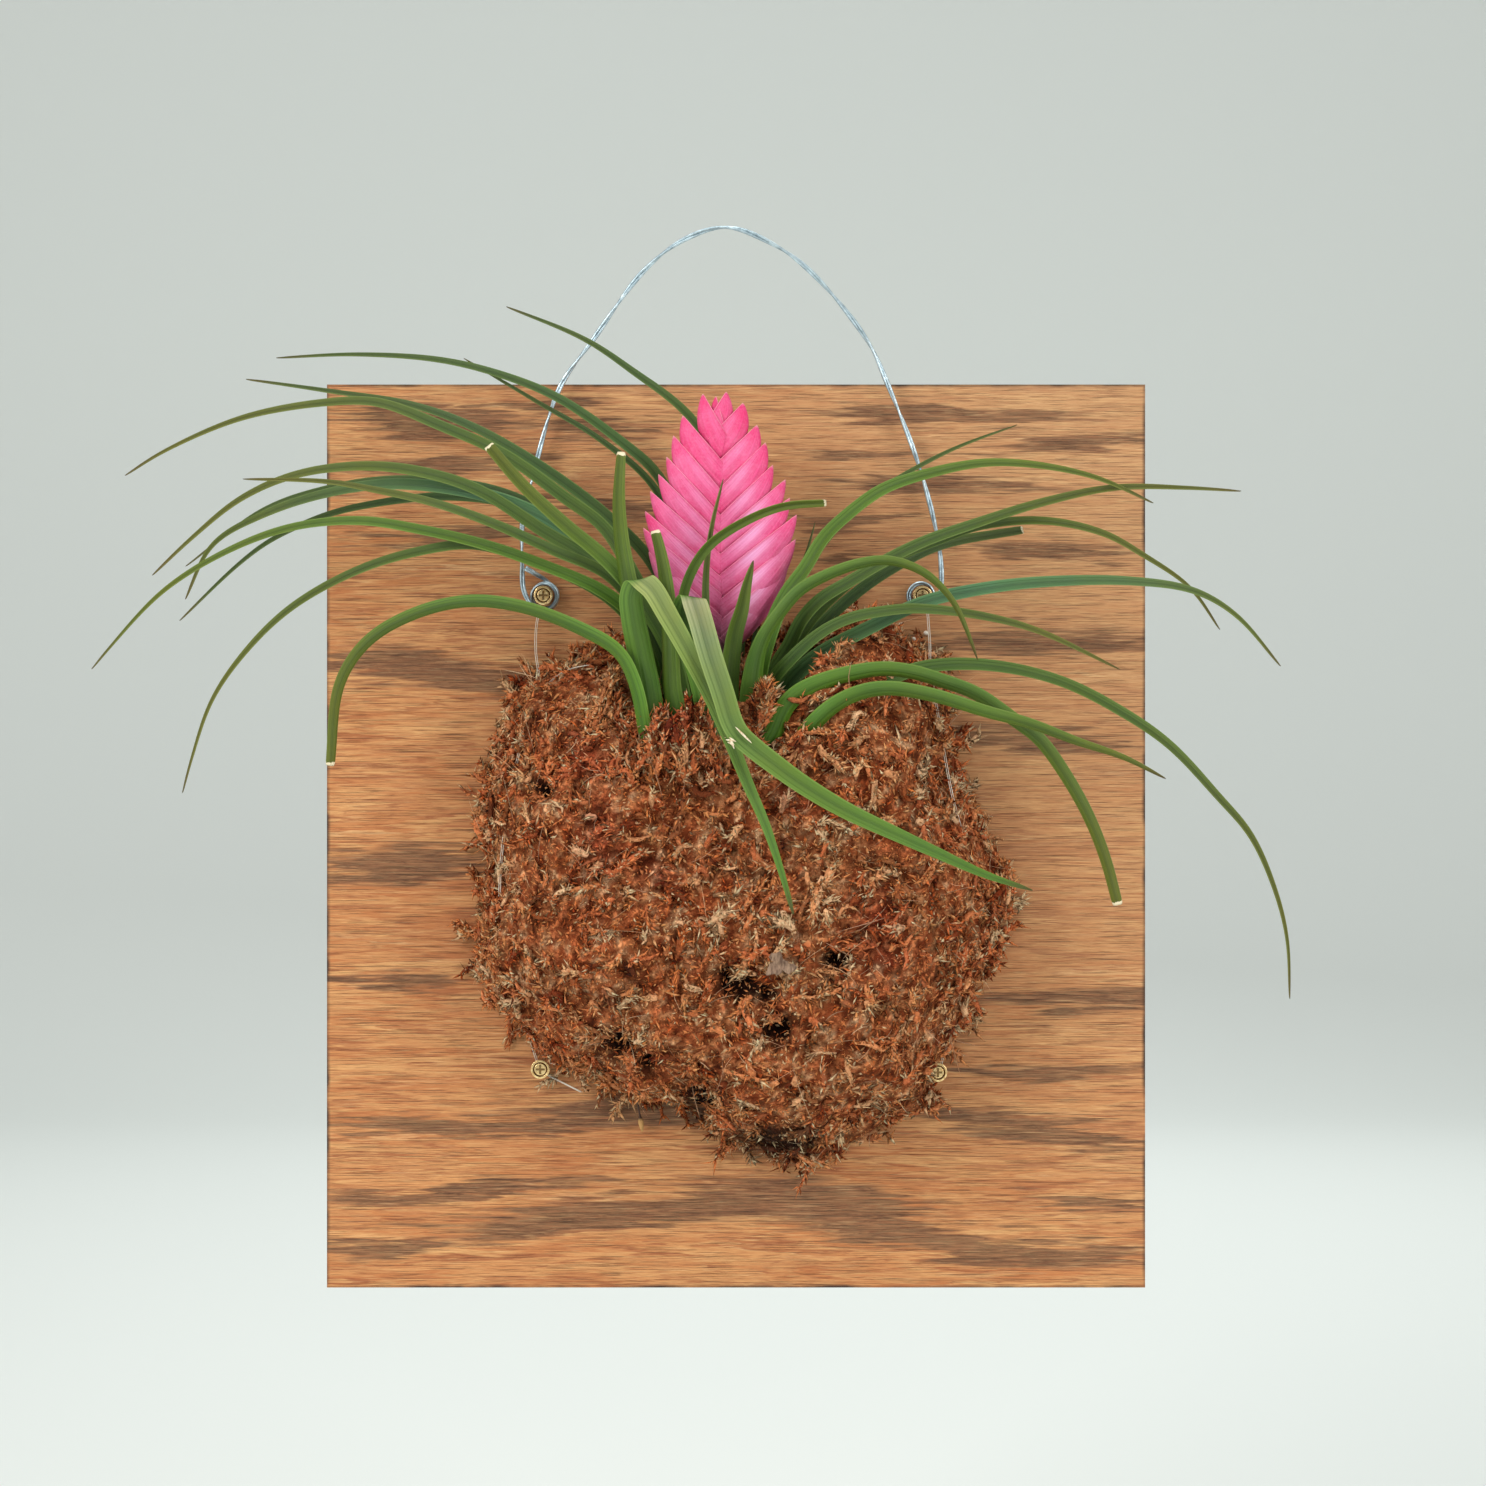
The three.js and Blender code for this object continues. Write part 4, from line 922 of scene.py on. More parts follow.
# where the long folded leaf is torn at its bend, pale shreds stand off it: points [x, z, depth]
leafTears = {
    "pale": seen(244, 232, 206), "brown": seen(190, 160, 116), "stringy": (even, 900, 0.4, 0.66),
    # radius in the middle of a shred, and the share of it at the ends
    "thickest": 0.34, "thinnest": 0.25, "steps": 10, "facets": 6,
    "shreds": [
        [(-0.2, 36, 72.2), (2.2, 33.6, 72.8), (5.2, 30.6, 72.6)],
        [(-3.4, 31.8, 72), (-1.8, 31.4, 73), (-0.6, 30, 72.8)],
        [(-2.8, 31, 72), (-1.4, 30.4, 73), (-0.6, 28.8, 72.6)],
        [(-2.2, 32.6, 72), (-1, 31.6, 72.8), (0, 31.2, 72.6)],
    ],
}
tornSkin = twoTone("tornLeaf", {"Roughness": 0.7}, leafTears["stringy"], leafTears["pale"], leafTears["brown"])
parts = []
for shred in leafTears["shreds"]:
    path, _ = smoothRoute([place(*point) for point in shred], leafTears["steps"])
    bulge = np.sin(np.pi * np.linspace(0, 1, leafTears["steps"] + 1))
    swell = leafTears["thickest"] * (leafTears["thinnest"] + (1 - leafTears["thinnest"]) * bulge)
    parts.append(tubeArrays(path, swell * mm, leafTears["facets"]))
arrayPiece("leaf_tears", *joinArrays(parts), tornSkin, "leaves")
print("leaves made:", len(leafBlade["plants"]))

spike = {
    "depth": 31, "axisTop": (-6.4, 145), "axisLow": (-4.9, 58), "rows": 18, "columns": 14,
    "thickLow": 6.4, "thickHigh": 2.4, "shell": 0.4, "flare": 0.35,
    # tips [x, z] as they show, from the lowest bract up, then how far below its tip each margin starts
    "leftTips": [(-24.5, 84), (-28.8, 93.9), (-30.6, 101.8), (-30, 107.3), (-28.3, 113.9), (-25.6, 119.5),
                 (-22.9, 125.2), (-20.6, 132.2), (-17.5, 138.8), (-10.9, 146), (-6.6, 145.2)],
    "rightTips": [(13, 83), (17.2, 90.4), (19.6, 98), (20, 106.1), (17.7, 111.7), (16.3, 117.7),
                  (12.1, 122.5), (9.7, 129.9), (6.9, 135.7), (2.3, 143), (-3.3, 146.6)],
    "drops": [19, 21, 21.5, 21.5, 20.5, 20, 19, 18, 15.5, 13, 9.5],
    "rightHigher": 0.8, "rootBelow": 13,
    # how far the keel bows out, and how far a margin starts beyond the axis
    "bows": [0, 0, 0, 0, 0.5, 0.5, 1.8, 5, 6, 6.5, 6],
    "laps": [0.7, 0.7, 0.7, 0.7, 0.7, 0.7, 0.9, 1.4, 2.4, 3.2, 2.6],
    "hot": seen(230, 48, 118), "pink": seen(236, 86, 148), "pale": seen(246, 174, 218),
    "dusky": seen(158, 78, 92), "green": seen(96, 92, 56), "margin": seen(250, 196, 204),
    # shade is the colour of the bracts' painted shade, and edge that of the spike's sides, which is partly
    # painted shade
    "dryTip": seen(240, 206, 186), "shade": seen(196, 30, 84), "edge": seen(150, 84, 96),
    "nerve": seen(240, 206, 222), "grain": seen(255, 210, 228),
    # the stalk under the bracts: heights and the radius at each
    "stalkHeights": (26, 60, 92), "stalkRadii": (3.1, 3.4, 2.2), "stalkFacets": 20, "stalkSteps": 33,
    "stalkRibs": ((1, 1, 0.1), 1400, 0.4, 0.66),
    "stalkGreen": seen(126, 128, 80), "stalkPink": seen(168, 110, 104),
}

bractSkin, tree, shader = newMaterial("bractSkin", {"Specular IOR Level": 0.28})
uv = addNode(tree, "ShaderNodeUVMap", uv_map="bract").outputs["UV"]
where = objectPlace(tree)
tint = painted(tree)["Color"]
nerves = fibres(tree, uv, (34, 1.1, 1), 1, 0.36, 0.64)
cloudy = fibres(tree, where, even, 120, 0.35, 0.66)
grainy = fibres(tree, where, even, 1500, 0.4, 0.66)
colour = blendColours(tree, nerves, dimmed(tree, tint, spike["nerve"]), tint)
colour = blendColours(tree, softened(tree, cloudy, 0.2), colour, spike["pale"])
colour = blendColours(tree, softened(tree, grainy, 0.07), colour, spike["grain"])
linkSkin(tree, shader, colour, rough=(nerves, 0.5, 0.62), bump=(nerves, 0.0002, 0.6))


def bend(a, b, c, t):
    t = t[:, None]
    return (1 - t) ** 2 * np.array(a) + 2 * t * (1 - t) * np.array(b) + t**2 * np.array(c)


# The spike's axis at a height, as x and z.
def onAxis(z):
    (lowX, lowZ), (topX, topZ) = spike["axisLow"], spike["axisTop"]
    return np.array([mix(lowX, topX, (z - lowZ) / (topZ - lowZ)), z])


# How hot, pale, dusky or green a bract is, with its painted highlight and shade: away is 0 on its keel and 1 at
# a margin, v runs up to its tip.
def bractColours(face, away, v, t, wobble):
    s = spike
    x, z = face[:, 0] + 5.5, face[:, 1]
    upness = ease((z - 88) / 52)
    litMiddle = np.exp(-((away - 0.66) / 0.2) ** 2) * np.exp(-((v - 0.42) / 0.26) ** 2)
    rightward = np.clip(0.62 + x / 30, 0.45, 1)
    return overlay(
        s["pink"],
        (s["hot"], 0.3 + 0.6 * upness + 0.15 * wobble),
        # a painted highlight across the middle of each bract, stronger toward the right and lower down
        (s["pale"], np.clip(litMiddle * rightward * (1 - 0.72 * upness) * 1.15, 0, 1)),
        (s["hot"], ease((v - 0.7) / 0.3) * 0.5),
        # painted shade, darker low on the bract toward its keel
        (s["shade"], ease((0.5 - away) / 0.5) * 0.4 * (1 - v)),
        (s["dusky"], ease((88 - z) / 28) * 0.75),
        # the spike's sides, darker low down: partly the bracts' dusky colour and partly painted shade
        (s["edge"], ease((np.abs(x) - 14) / 10) * ease((104 - z) / 22) * 0.8),
        (s["green"], ease((70 - z) / 10) * 0.7),
        # a painted shadow along a line just inside the margin, low on the bract
        (s["shade"], np.exp(-((away - 0.9) / 0.05) ** 2) * 0.4 * (1 - v)),
        (s["margin"], ease((away - 0.965) / 0.035) * 0.35),
        (s["dryTip"], ease((v - 0.965) / 0.035) * (0.25 + 0.6 * t)),
    )


# A bract is folded along its outer keel, and its two margins lie on the spike's two faces.
def makeBract(index, side):
    s = spike
    tips = s["leftTips" if side < 0 else "rightTips"]
    t = index / (len(tips) - 1)
    tip = np.array(tips[index], float)
    starts = tip[1] - s["drops"][index] + s["rightHigher"] * side
    root = onAxis(max(starts - s["rootBelow"], s["axisLow"][1]))
    marginRoot = onAxis(starts) - np.array([side * s["laps"][index], 0])
    rise = tip[1] - root[1]
    reach = tip[0] - onAxis(tip[1])[0]
    keelSide = np.array([root[0] + mix(0.9, 1, ease(t * 2)) * reach + side * s["bows"][index],
                         root[1] + mix(0.4, 0.55, t) * rise])
    marginSide = mix(marginRoot, tip, 0.52) + np.array([-0.04 * reach, -0.02 * rise])
    bract, flat = addGrid(s["columns"], s["rows"])
    bract.data.uv_layers[0].name = "bract"
    fold = flat[:, 0] * 2
    away = np.abs(fold)
    v = flat[:, 1] + 0.5
    keel = bend(root, keelSide, tip, v)
    margin = bend(marginRoot, marginSide, tip, v)
    spread = np.sin(away * np.pi / 2)[:, None]
    face = keel * (1 - spread) + margin * spread
    thick = mix(s["thickLow"], s["thickHigh"], t) - 0.16 * (side + 1)
    swell = (0.55 + 0.45 * np.sin(np.pi * np.clip(0.2 + v, 0, 1))) * (1 - v**3) + 0.1
    depth = thick * swell * (1 - (1 - np.clip(away / 0.7, 0, 1)) ** 2.2) ** 0.5
    depth = depth + s["flare"] * ease((away - 0.75) / 0.25) * np.sin(np.pi * np.clip(v, 0, 1))
    nearer = (eye["distance"] - s["depth"]) / eye["distance"]
    corners = np.column_stack([
        eye["x"] + (face[:, 0] - eye["x"]) * nearer,
        -boardThickness - s["depth"] + np.sign(fold) * depth,
        eye["z"] + (face[:, 1] - eye["z"]) * nearer,
    ])
    bract.data.vertices.foreach_set("co", (corners * mm).ravel())
    wobble = noise.noise((index * 2.3, side * 4.1, 0.5))
    paint(bract.data, np.clip(bractColours(face, away, v, t, wobble), 0, 1))
    return bract


def makeSpike():
    bracts = [makeBract(index, side) for index in range(len(spike["leftTips"])) for side in (-1, 1)]
    selectOnly(*bracts)
    bpy.ops.object.join()
    whole = bpy.context.object
    bpy.ops.object.mode_set(mode="EDIT")
    bpy.ops.mesh.select_all(action="SELECT")
    bpy.ops.mesh.remove_doubles(threshold=0.00001)
    bpy.ops.mesh.normals_make_consistent(inside=False)
    bpy.ops.object.mode_set(mode="OBJECT")
    addThickness(whole, spike["shell"])
    addSmoothing(whole)
    finishPiece(whole, "spike_bracts", bractSkin, "quill", ["quill"])


makeSpike()

stalkSkin = twoTone("stalkSkin", {"Roughness": 0.5}, spike["stalkRibs"], spike["stalkGreen"],
                    spike["stalkPink"], bump=(0.0002, 1.0))
heights = np.linspace(spike["stalkHeights"][0], spike["stalkHeights"][-1], spike["stalkSteps"])
stalkLine = [place(*onAxis(z), spike["depth"]) / mm for z in heights]
stalkRadii = np.interp(heights, spike["stalkHeights"], spike["stalkRadii"])
corners, faces = tubeArrays(stalkLine, stalkRadii, spike["stalkFacets"])
arrayPiece("spike_stalk", corners * mm, faces, stalkSkin, "quill")
print("spike made")

moss = {
    "seed": 11, "voxel": 2.2, "clump": 4.2, "lump": 17, "lumpRise": 3.0, "knob": 6, "knobRise": 1.7,
    # cords creep over the core, rim cords spill on to the board, and flakes clothe them all
    "cords": 1500, "cordLength": (3, 12), "cordRise": (-0.9, 2.1), "turning": 1.1,
    "rimCords": 250, "rimLength": (4, 12), "rimDepth": 9,
    "cordRadius": (0.55, 1.4), "cordRings": 6, "cordSides": 5,
    # pieces of flakes: how many, length, half width, how many on the core
    "flakes": [
        (28000, (1.6, 3.8), (0.4, 0.76), 0.2),
        (28000, (1.2, 2.8), (0.34, 0.62), 0.35),
        (28000, (0.9, 2.1), (0.24, 0.44), 0.5),
    ],
    "hairs": 450, "hairLength": (5, 15), "hairWidth": (0.08, 0.18), "flatness": 0.34,
    # the light on flakes that clothe the cords and on loose ones, and the shares of straw and dark ones
    "flakeLight": (0.8, 3.6), "looseLight": (0.75, 3.1), "strawShare": 0.24, "darkShare": 0.16,
    "frontmost": 73,  # no flake or hair stands further off the board than this
    "crumbs": (even, 420, 0.42, 0.62), "coreCrumbShade": seen(150, 130, 120),
    "frayed": (even, 1300, 0.36, 0.64), "strandFibreShade": seen(224, 210, 200),
    "hollowDepth": 7, "shrink": 1.4,  # how deep the hollows go, and how far the core draws in
    "nearer": 0.95,  # the moss's front lies nearer to the eye, so that it shows larger by this
    "rust": seen(226, 134, 88), "orange": seen(250, 176, 120), "tan": seen(255, 228, 192),
    "brown": seen(164, 106, 74), "dark": seen(42, 17, 7), "red": seen(176, 76, 56),
    "straw": seen(255, 238, 200), "soil": seen(24, 17, 14),
    # round places [x, z, radius] as they show from the front
    "redPatches": [(-48, 25, 9), (46, -26, 8), (50, -40, 6), (-44, -4, 7), (20, 14, 6), (-24, -12, 5),
                   (-45, 5, 6), (-20, 38, 6)],
    "hollows": [(0.5, -49, 4.5), (-4, -46, 3), (10, -52, 3), (13, -63, 4), (-41, -71, 5), (-12, -92, 6),
                (33, -41, 3.4), (-30, -78, 3), (-66, 16, 3.5), (18.5, 50, 4)],
    # where the core sinks so that leaf bases show: x, z, radius, how deep
    "dips": [(16, 43, 8, 10), (12.5, 33, 5.5, 8), (27, 38, 6, 9), (-34, 46, 6, 6)],
    "soilPatch": (13, -97, 16, 8),
    # how much painted shade in the gaps between clumps dims each colour, and the painted shade that dims the
    # core and the cord bodies, which lie deep under the flakes
    "gapShade": np.array((0.6, 0.72, 0.8)), "coreShade": np.array((0.84, 0.72, 0.62)),
    "cordShade": np.array((0.92, 0.84, 0.76)),
    # a power for each colour, which warms the dark flakes and leaves the pale ones
    "warmth": np.array((1, 1.05, 1.14)),
    "inHollow": 0.12,  # the share of cords that cross a hollow and stay
    # tufts that bank up round the leaf bases: points [x, z, depth], how far cords stray, how many
    "tuftLength": (4, 9), "tuftRadius": (0.9, 1.5), "tuftRise": (0.2, 1.8), "tuftSteps": 40,
    "tufts": [
        ([(-36, 20, 55), (-34, 28, 57), (-31.5, 33, 57)], 2.6, 26),
        ([(-27, 18, 58), (-25.5, 30, 60), (-24.5, 38, 59)], 2.6, 34),
        ([(-19, 18, 60), (-18.5, 31, 61), (-18.5, 39, 59)], 2.6, 34),
        ([(-11.5, 18, 59), (-12.5, 32, 60), (-13.3, 44, 60)], 2.1, 32),
        ([(-6, 18, 60), (-7.5, 30, 61), (-8.5, 38, 60)], 2, 26),
        ([(5.4, 31, 54), (7, 40, 55), (8.8, 46, 55), (10.4, 51, 53)], 1.2, 34),
        ([(30, 50, 34), (35, 57, 33), (40, 61, 30)], 2.2, 16),
        ([(-46, 34, 48), (-42, 44, 47), (-40, 52, 44)], 2.2, 16),
    ],
}
random = np.random.default_rng(moss["seed"])
noise.seed_set(moss["seed"])  # noise_vector draws its offsets by the clock without it


# Moss shows its painted colours, with painted shade between its crumbs or frayed fibres.
def mossMaterial(name, sockets, pattern, shadeColour, relief):
    material, tree, shader = newMaterial(name, sockets)
    tint = painted(tree)["Color"]
    mask = fibres(tree, objectPlace(tree), *pattern)
    linkSkin(tree, shader, blendColours(tree, mask, dimmed(tree, tint, shadeColour), tint), bump=(mask, relief, 1.0))
    return material


mossCoreSkin = mossMaterial("mossCore", {"Roughness": 0.95, "Specular IOR Level": 0.1},
                            moss["crumbs"], moss["coreCrumbShade"], 0.0012)
mossSkin = mossMaterial("mossStrand", {"Roughness": 0.85, "Specular IOR Level": 0.2},
                        moss["frayed"], moss["strandFibreShade"], 0.0003)


def noiseAt(points, size, offset=0.0):
    shift = Vector((offset, offset * 0.7, -offset))
    return np.array([noise.noise(Vector(p) / size + shift) for p in points])


# How far points lie from a place on the moss that is given as it shows from the front.
def reachFrom(points, x, z):
    nearer = moss["nearer"]
    return np.hypot(points[..., 0] - x * nearer, points[..., 2] - (z - eye["z"]) * nearer - eye["z"])


# 1 at such a place, and less the further off, over a radius.
def nearness(points, x, z, radius):
    return np.exp(-(reachFrom(points, x, z) / radius) ** 2)


# the core: the solid's own shape, melted together and lumped
core = bpy.data.objects.new("moss_core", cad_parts["moss_ball"].data.copy())
bpy.context.collection.objects.link(core)
selectOnly(core)
bpy.ops.object.mode_set(mode="EDIT")
bpy.ops.mesh.select_all(action="SELECT")
bpy.ops.mesh.remove_doubles(threshold=0.00001)
bpy.ops.object.mode_set(mode="OBJECT")
melt = core.modifiers.new("melt", "REMESH")
melt.mode = "VOXEL"
melt.voxel_size = moss["voxel"] * mm
bpy.ops.object.modifier_apply(modifier=melt.name)
corners = rowsOf(core.data.vertices, "co") / mm
normals = rowsOf(core.data.vertices, "normal")
lumps = moss["lumpRise"] * noiseAt(corners, moss["lump"])
lumps += moss["knobRise"] * noiseAt(corners, moss["knob"], 5)
dents = np.zeros(len(corners))
for x, z, radius in moss["hollows"]:
    dents += moss["hollowDepth"] * nearness(corners, x, z, radius)
# painted shade: the core is painted dark in its hollows
hollowShade = np.clip(dents / 3, 0, 1)[:, None]
free = np.clip((-boardThickness - 0.6 - corners[:, 1]) / 5, 0, 1)
sink = sum(deep * nearness(corners, x, z, radius) for x, z, radius, deep in moss["dips"])
corners[:, 1] += sink * free * np.clip(-1.6 * normals[:, 1], 0, 1)
corners += normals * ((lumps - moss["shrink"] - dents) * free)[:, None]
corners[:, 1] = np.minimum(corners[:, 1], -boardThickness - 0.15)
core.data.vertices.foreach_set("co", (corners * mm).ravel())
core.data.update()
smoothAll(core)

# places on the core's outer side where cords and hairs may spring
core.data.calc_loop_triangles()
triangles = rowsOf(core.data.loop_triangles, "vertices", kind=np.int32)
firsts, seconds, thirds = (corners[triangles[:, k]] for k in range(3))
cross = np.cross(seconds - firsts, thirds - firsts)
areas = np.linalg.norm(cross, axis=1) / 2
faceNormals = unit(cross)
middles = (firsts + seconds + thirds) / 3
outer = (middles[:, 1] < -boardThickness - 0.8) & (faceNormals[:, 1] < 0.35)
atRim = outer & (middles[:, 1] > -boardThickness - moss["rimDepth"])
surface = BVHTree.FromPolygons([tuple(p) for p in corners], [tuple(t) for t in triangles])
finishPiece(core, "moss_core", mossCoreSkin, "moss", ["moss_ball"])


# Random places on the allowed triangles of the core, and the way each faces.
def pickRoots(number, allowed):
    weights = np.where(allowed, areas, 0)
    chosen = random.choice(len(triangles), number, p=weights / weights.sum())
    s, t = random.random((2, number))
    over = s + t > 1
    s[over], t[over] = 1 - s[over], 1 - t[over]
    roots = (firsts[chosen] + (seconds - firsts)[chosen] * s[:, None]
             + (thirds - firsts)[chosen] * t[:, None])
    return roots, faceNormals[chosen]


# A cord's path creeps over the core from its root, turning as it goes.
def creep(root, up, length, rise):
    point, up = Vector(root), Vector(up)
    way = noise.noise_vector(point / 16) * 1.2 + Vector(random.normal(size=3)) * 0.9
    path, ups = [], []
    for _ in range(moss["cordRings"]):
        point, up, _, _ = surface.find_nearest(point)
        way += moss["turning"] * noise.noise_vector(point / 4)
        way -= up * way.dot(up)
        way.normalize()
        path.append(point + up * rise)
        ups.append(up)
        point = point + way * length / (moss["cordRings"] - 1)
    return path, ups


# A rim cord leaves the ball's edge and comes down on the board.
def spill(root, up, length, rise):
    turn = random.normal(0, 0.7)
    out = unit(np.array([up[0], 0, up[2]]))
    out = np.array([out[0] * math.cos(turn) - out[2] * math.sin(turn), 0,
                    out[0] * math.sin(turn) + out[2] * math.cos(turn)])
    bow = random.normal(0, 0.25) * length
    rest = -boardThickness - 2.0 - 0.6 * rise
    path = []
    for t in np.linspace(0, 1, moss["cordRings"]):
        point = root + out * length * (t - 0.15) + np.array([-out[2], 0, out[0]]) * bow * t * t
        point[1] = mix(root[1], rest, ease(t * 1.3))
        path.append(point)
    return path, [(0, -1, 0)] * moss["cordRings"]


# A tuft's cords lie about its middle line, each a short piece of it.
def strayCords(points, stray, number):
    steps = moss["tuftSteps"]
    middle, length = smoothRoute([place(*point) / mm for point in points], steps)
    for _ in range(number):
        span = random.uniform(*moss["tuftLength"])
        start = random.uniform(0, max(length - span, 1))
        at = np.clip((start + np.linspace(0, span, moss["cordRings"])) / length, 0, 1) * steps
        path = np.column_stack([np.interp(at, np.arange(steps + 1), middle[:, k]) for k in range(3)])
        fray = np.linspace(-1, 1, moss["cordRings"])[:, None] * random.normal(0, 0.9, 3)
        yield path + random.normal(0, stray, 3) + fray


def gatherCords():
    paths, ups, radii, rises = [], [], [], []
    kinds = ((moss["cords"], outer, creep, moss["cordLength"]),
             (moss["rimCords"], atRim, spill, moss["rimLength"]))
    for number, allowed, walk, span in kinds:
        roots, outward = pickRoots(number, allowed)
        for root, up in zip(roots, outward):
            size = random.random() ** 1.5
            rise = random.uniform(*moss["cordRise"])
            path, along = walk(root, up, mix(*span, size), rise)
            inHollow = any(reachFrom(np.array(path), x, z).min() < 0.8 * wide for x, z, wide in moss["hollows"])
            if not inHollow or random.random() < moss["inHollow"]:
                paths.append(path)
                ups.append(along)
                radii.append(random.uniform(*moss["cordRadius"]))
                rises.append(rise)
    for tuft in moss["tufts"]:
        for path in strayCords(*tuft):
            paths.append(path)
            ups.append([(0, -1, 0)] * moss["cordRings"])
            radii.append(random.uniform(*moss["tuftRadius"]))
            rises.append(random.uniform(*moss["tuftRise"]))
    return np.array(paths, float), np.array(ups, float), np.array(radii), np.array(rises)


# Where painted shade falls in the small gaps between the clumps: 0 on them and 1 in a gap.
def gapAt(points):
    return ease((-0.08 - noiseAt(points, moss["clump"], 55)) / 0.2)


def mossColours(roots):
    number = len(roots)
    patch = noiseAt(roots, 13, 21) + 0.45 * random.normal(size=number)
    bright = noiseAt(roots, 7, 33) + 0.5 * random.normal(size=number)
    colours = overlay(moss["brown"], (moss["rust"], ease(0.75 + 0.8 * patch)),
                      (moss["orange"], ease(0.45 + 0.8 * bright)), (moss["tan"], ease(bright - 0.1) * 0.8))
    for patch in moss["redPatches"]:
        colours = overlay(colours, (moss["red"], nearness(roots, *patch) * 0.65))
    colours = colours * (1 - gapAt(roots)[:, None] * moss["gapShade"])
    x, z, wide, high = moss["soilPatch"]
    near = np.exp(-(((roots[:, 0] - x) / wide) ** 2 + ((roots[:, 2] - z) / high) ** 2) ** 2)
    return overlay(colours, (moss["soil"], near * 0.92))


# A colour that is too bright is dimmed as a whole, so that it keeps its hue.
def withinOne(colours):
    return colours / np.maximum(colours.max(axis=1, keepdims=True), 1)


# The cords' own bodies, as knobbly tubes.
def makeCords(paths, ups, radii, tints):
    number, rings = paths.shape[:2]
    sides = moss["cordSides"]
    forward = unit(np.gradient(paths, axis=1))
    side = unit(np.cross(ups, forward))
    up = np.cross(forward, side)
    angles = np.linspace(0, 2 * np.pi, sides, endpoint=False)
    taper = 0.35 + 0.65 * np.sin(np.pi * np.linspace(0.04, 0.96, rings)) ** 0.6
    reach = (radii[:, None] * taper)[..., None] * random.uniform(0.72, 1.2, (number, rings, sides))
    corners = (paths[:, :, None] + (reach * np.cos(angles))[..., None] * side[:, :, None]
               + (reach * np.sin(angles))[..., None] * up[:, :, None]).reshape(number, -1, 3)
    corners = np.concatenate([corners, paths[:, :1], paths[:, -1:]], axis=1)
    each = corners.shape[1]
    faces = repeatFaces(tubeFaces(rings, sides), number, each)
    corners[..., 1] = np.minimum(corners[..., 1], -boardThickness - 0.1)
    # the cord bodies, under the flakes, are painted in shade
    colours = np.repeat(np.clip(tints * moss["cordShade"], 0, 1), each, axis=0)
    arrayPiece("moss_cords", corners.reshape(-1, 3) * mm, faces, mossSkin, "moss", colours=colours)


# Curled slivers, closed and three-sided, pointed at both ends and widest between.
def sliverArrays(roots, ways, normals, lengths, widths, bends, twist, stations):
    thicknesses = widths * moss["flatness"]
    sideways = unit(np.cross(ways, normals) + 1e-4)
    bends = bends * lengths[:, None]
    corners = []
    for station in (0, *stations, 1):
        centre = roots + ways * (lengths * station)[:, None] + bends * station * station
        if station in (0, 1):
            corners.append(centre[:, None, :])
            continue
        forward = unit(ways * lengths[:, None] + 2 * station * bends)
        wide = unit(sideways - forward * np.sum(sideways * forward, axis=1, keepdims=True))
        up = np.cross(forward, wide)
        angle = twist * station
        widest = np.sin(np.pi * station) ** 0.6
        ring = []
        for k in range(3):
            phase = 2 * np.pi * k / 3
            u = np.cos(phase) * widths * widest
            w = np.sin(phase) * thicknesses * widest
            ring.append(centre + wide * (u * np.cos(angle) - w * np.sin(angle))[:, None]
                        + up * (u * np.sin(angle) + w * np.cos(angle))[:, None])
        corners.append(np.stack(ring, axis=1))
    corners = np.concatenate(corners, axis=1)
    number, each = corners.shape[:2]
    rings = len(stations)
    faces = [(0, 2, 1), (0, 3, 2), (0, 1, 3)]
    for i in range(rings - 1):
        for j in range(3):
            p, q = 1 + 3 * i + j, 1 + 3 * i + (j + 1) % 3
            faces += [(p, q, q + 3), (p, q + 3, p + 3)]
    lastRing = 1 + 3 * (rings - 1)
    faces += [(lastRing + j, lastRing + (j + 1) % 3, each - 1) for j in range(3)]
    return corners, repeatFaces(faces, number, each)


def makeSlivers(name, roots, ways, normals, lengths, widths, bends, stations, tints):
    number = len(roots)
    twist = random.uniform(-1.6, 1.6, number)
    corners, faces = sliverArrays(roots, ways, normals, lengths, widths, bends, twist, stations)
    corners[..., 1] = np.clip(corners[..., 1], -boardThickness - moss["frontmost"], -boardThickness - 0.1)
    lighter = np.linspace(0.8, 1.15, corners.shape[1])
    colours = np.clip(tints[:, None, :] * lighter[None, :, None], 0, 1).reshape(-1, 3)
    arrayPiece(name, corners.reshape(-1, 3) * mm, faces, mossSkin, "moss", colours=colours)


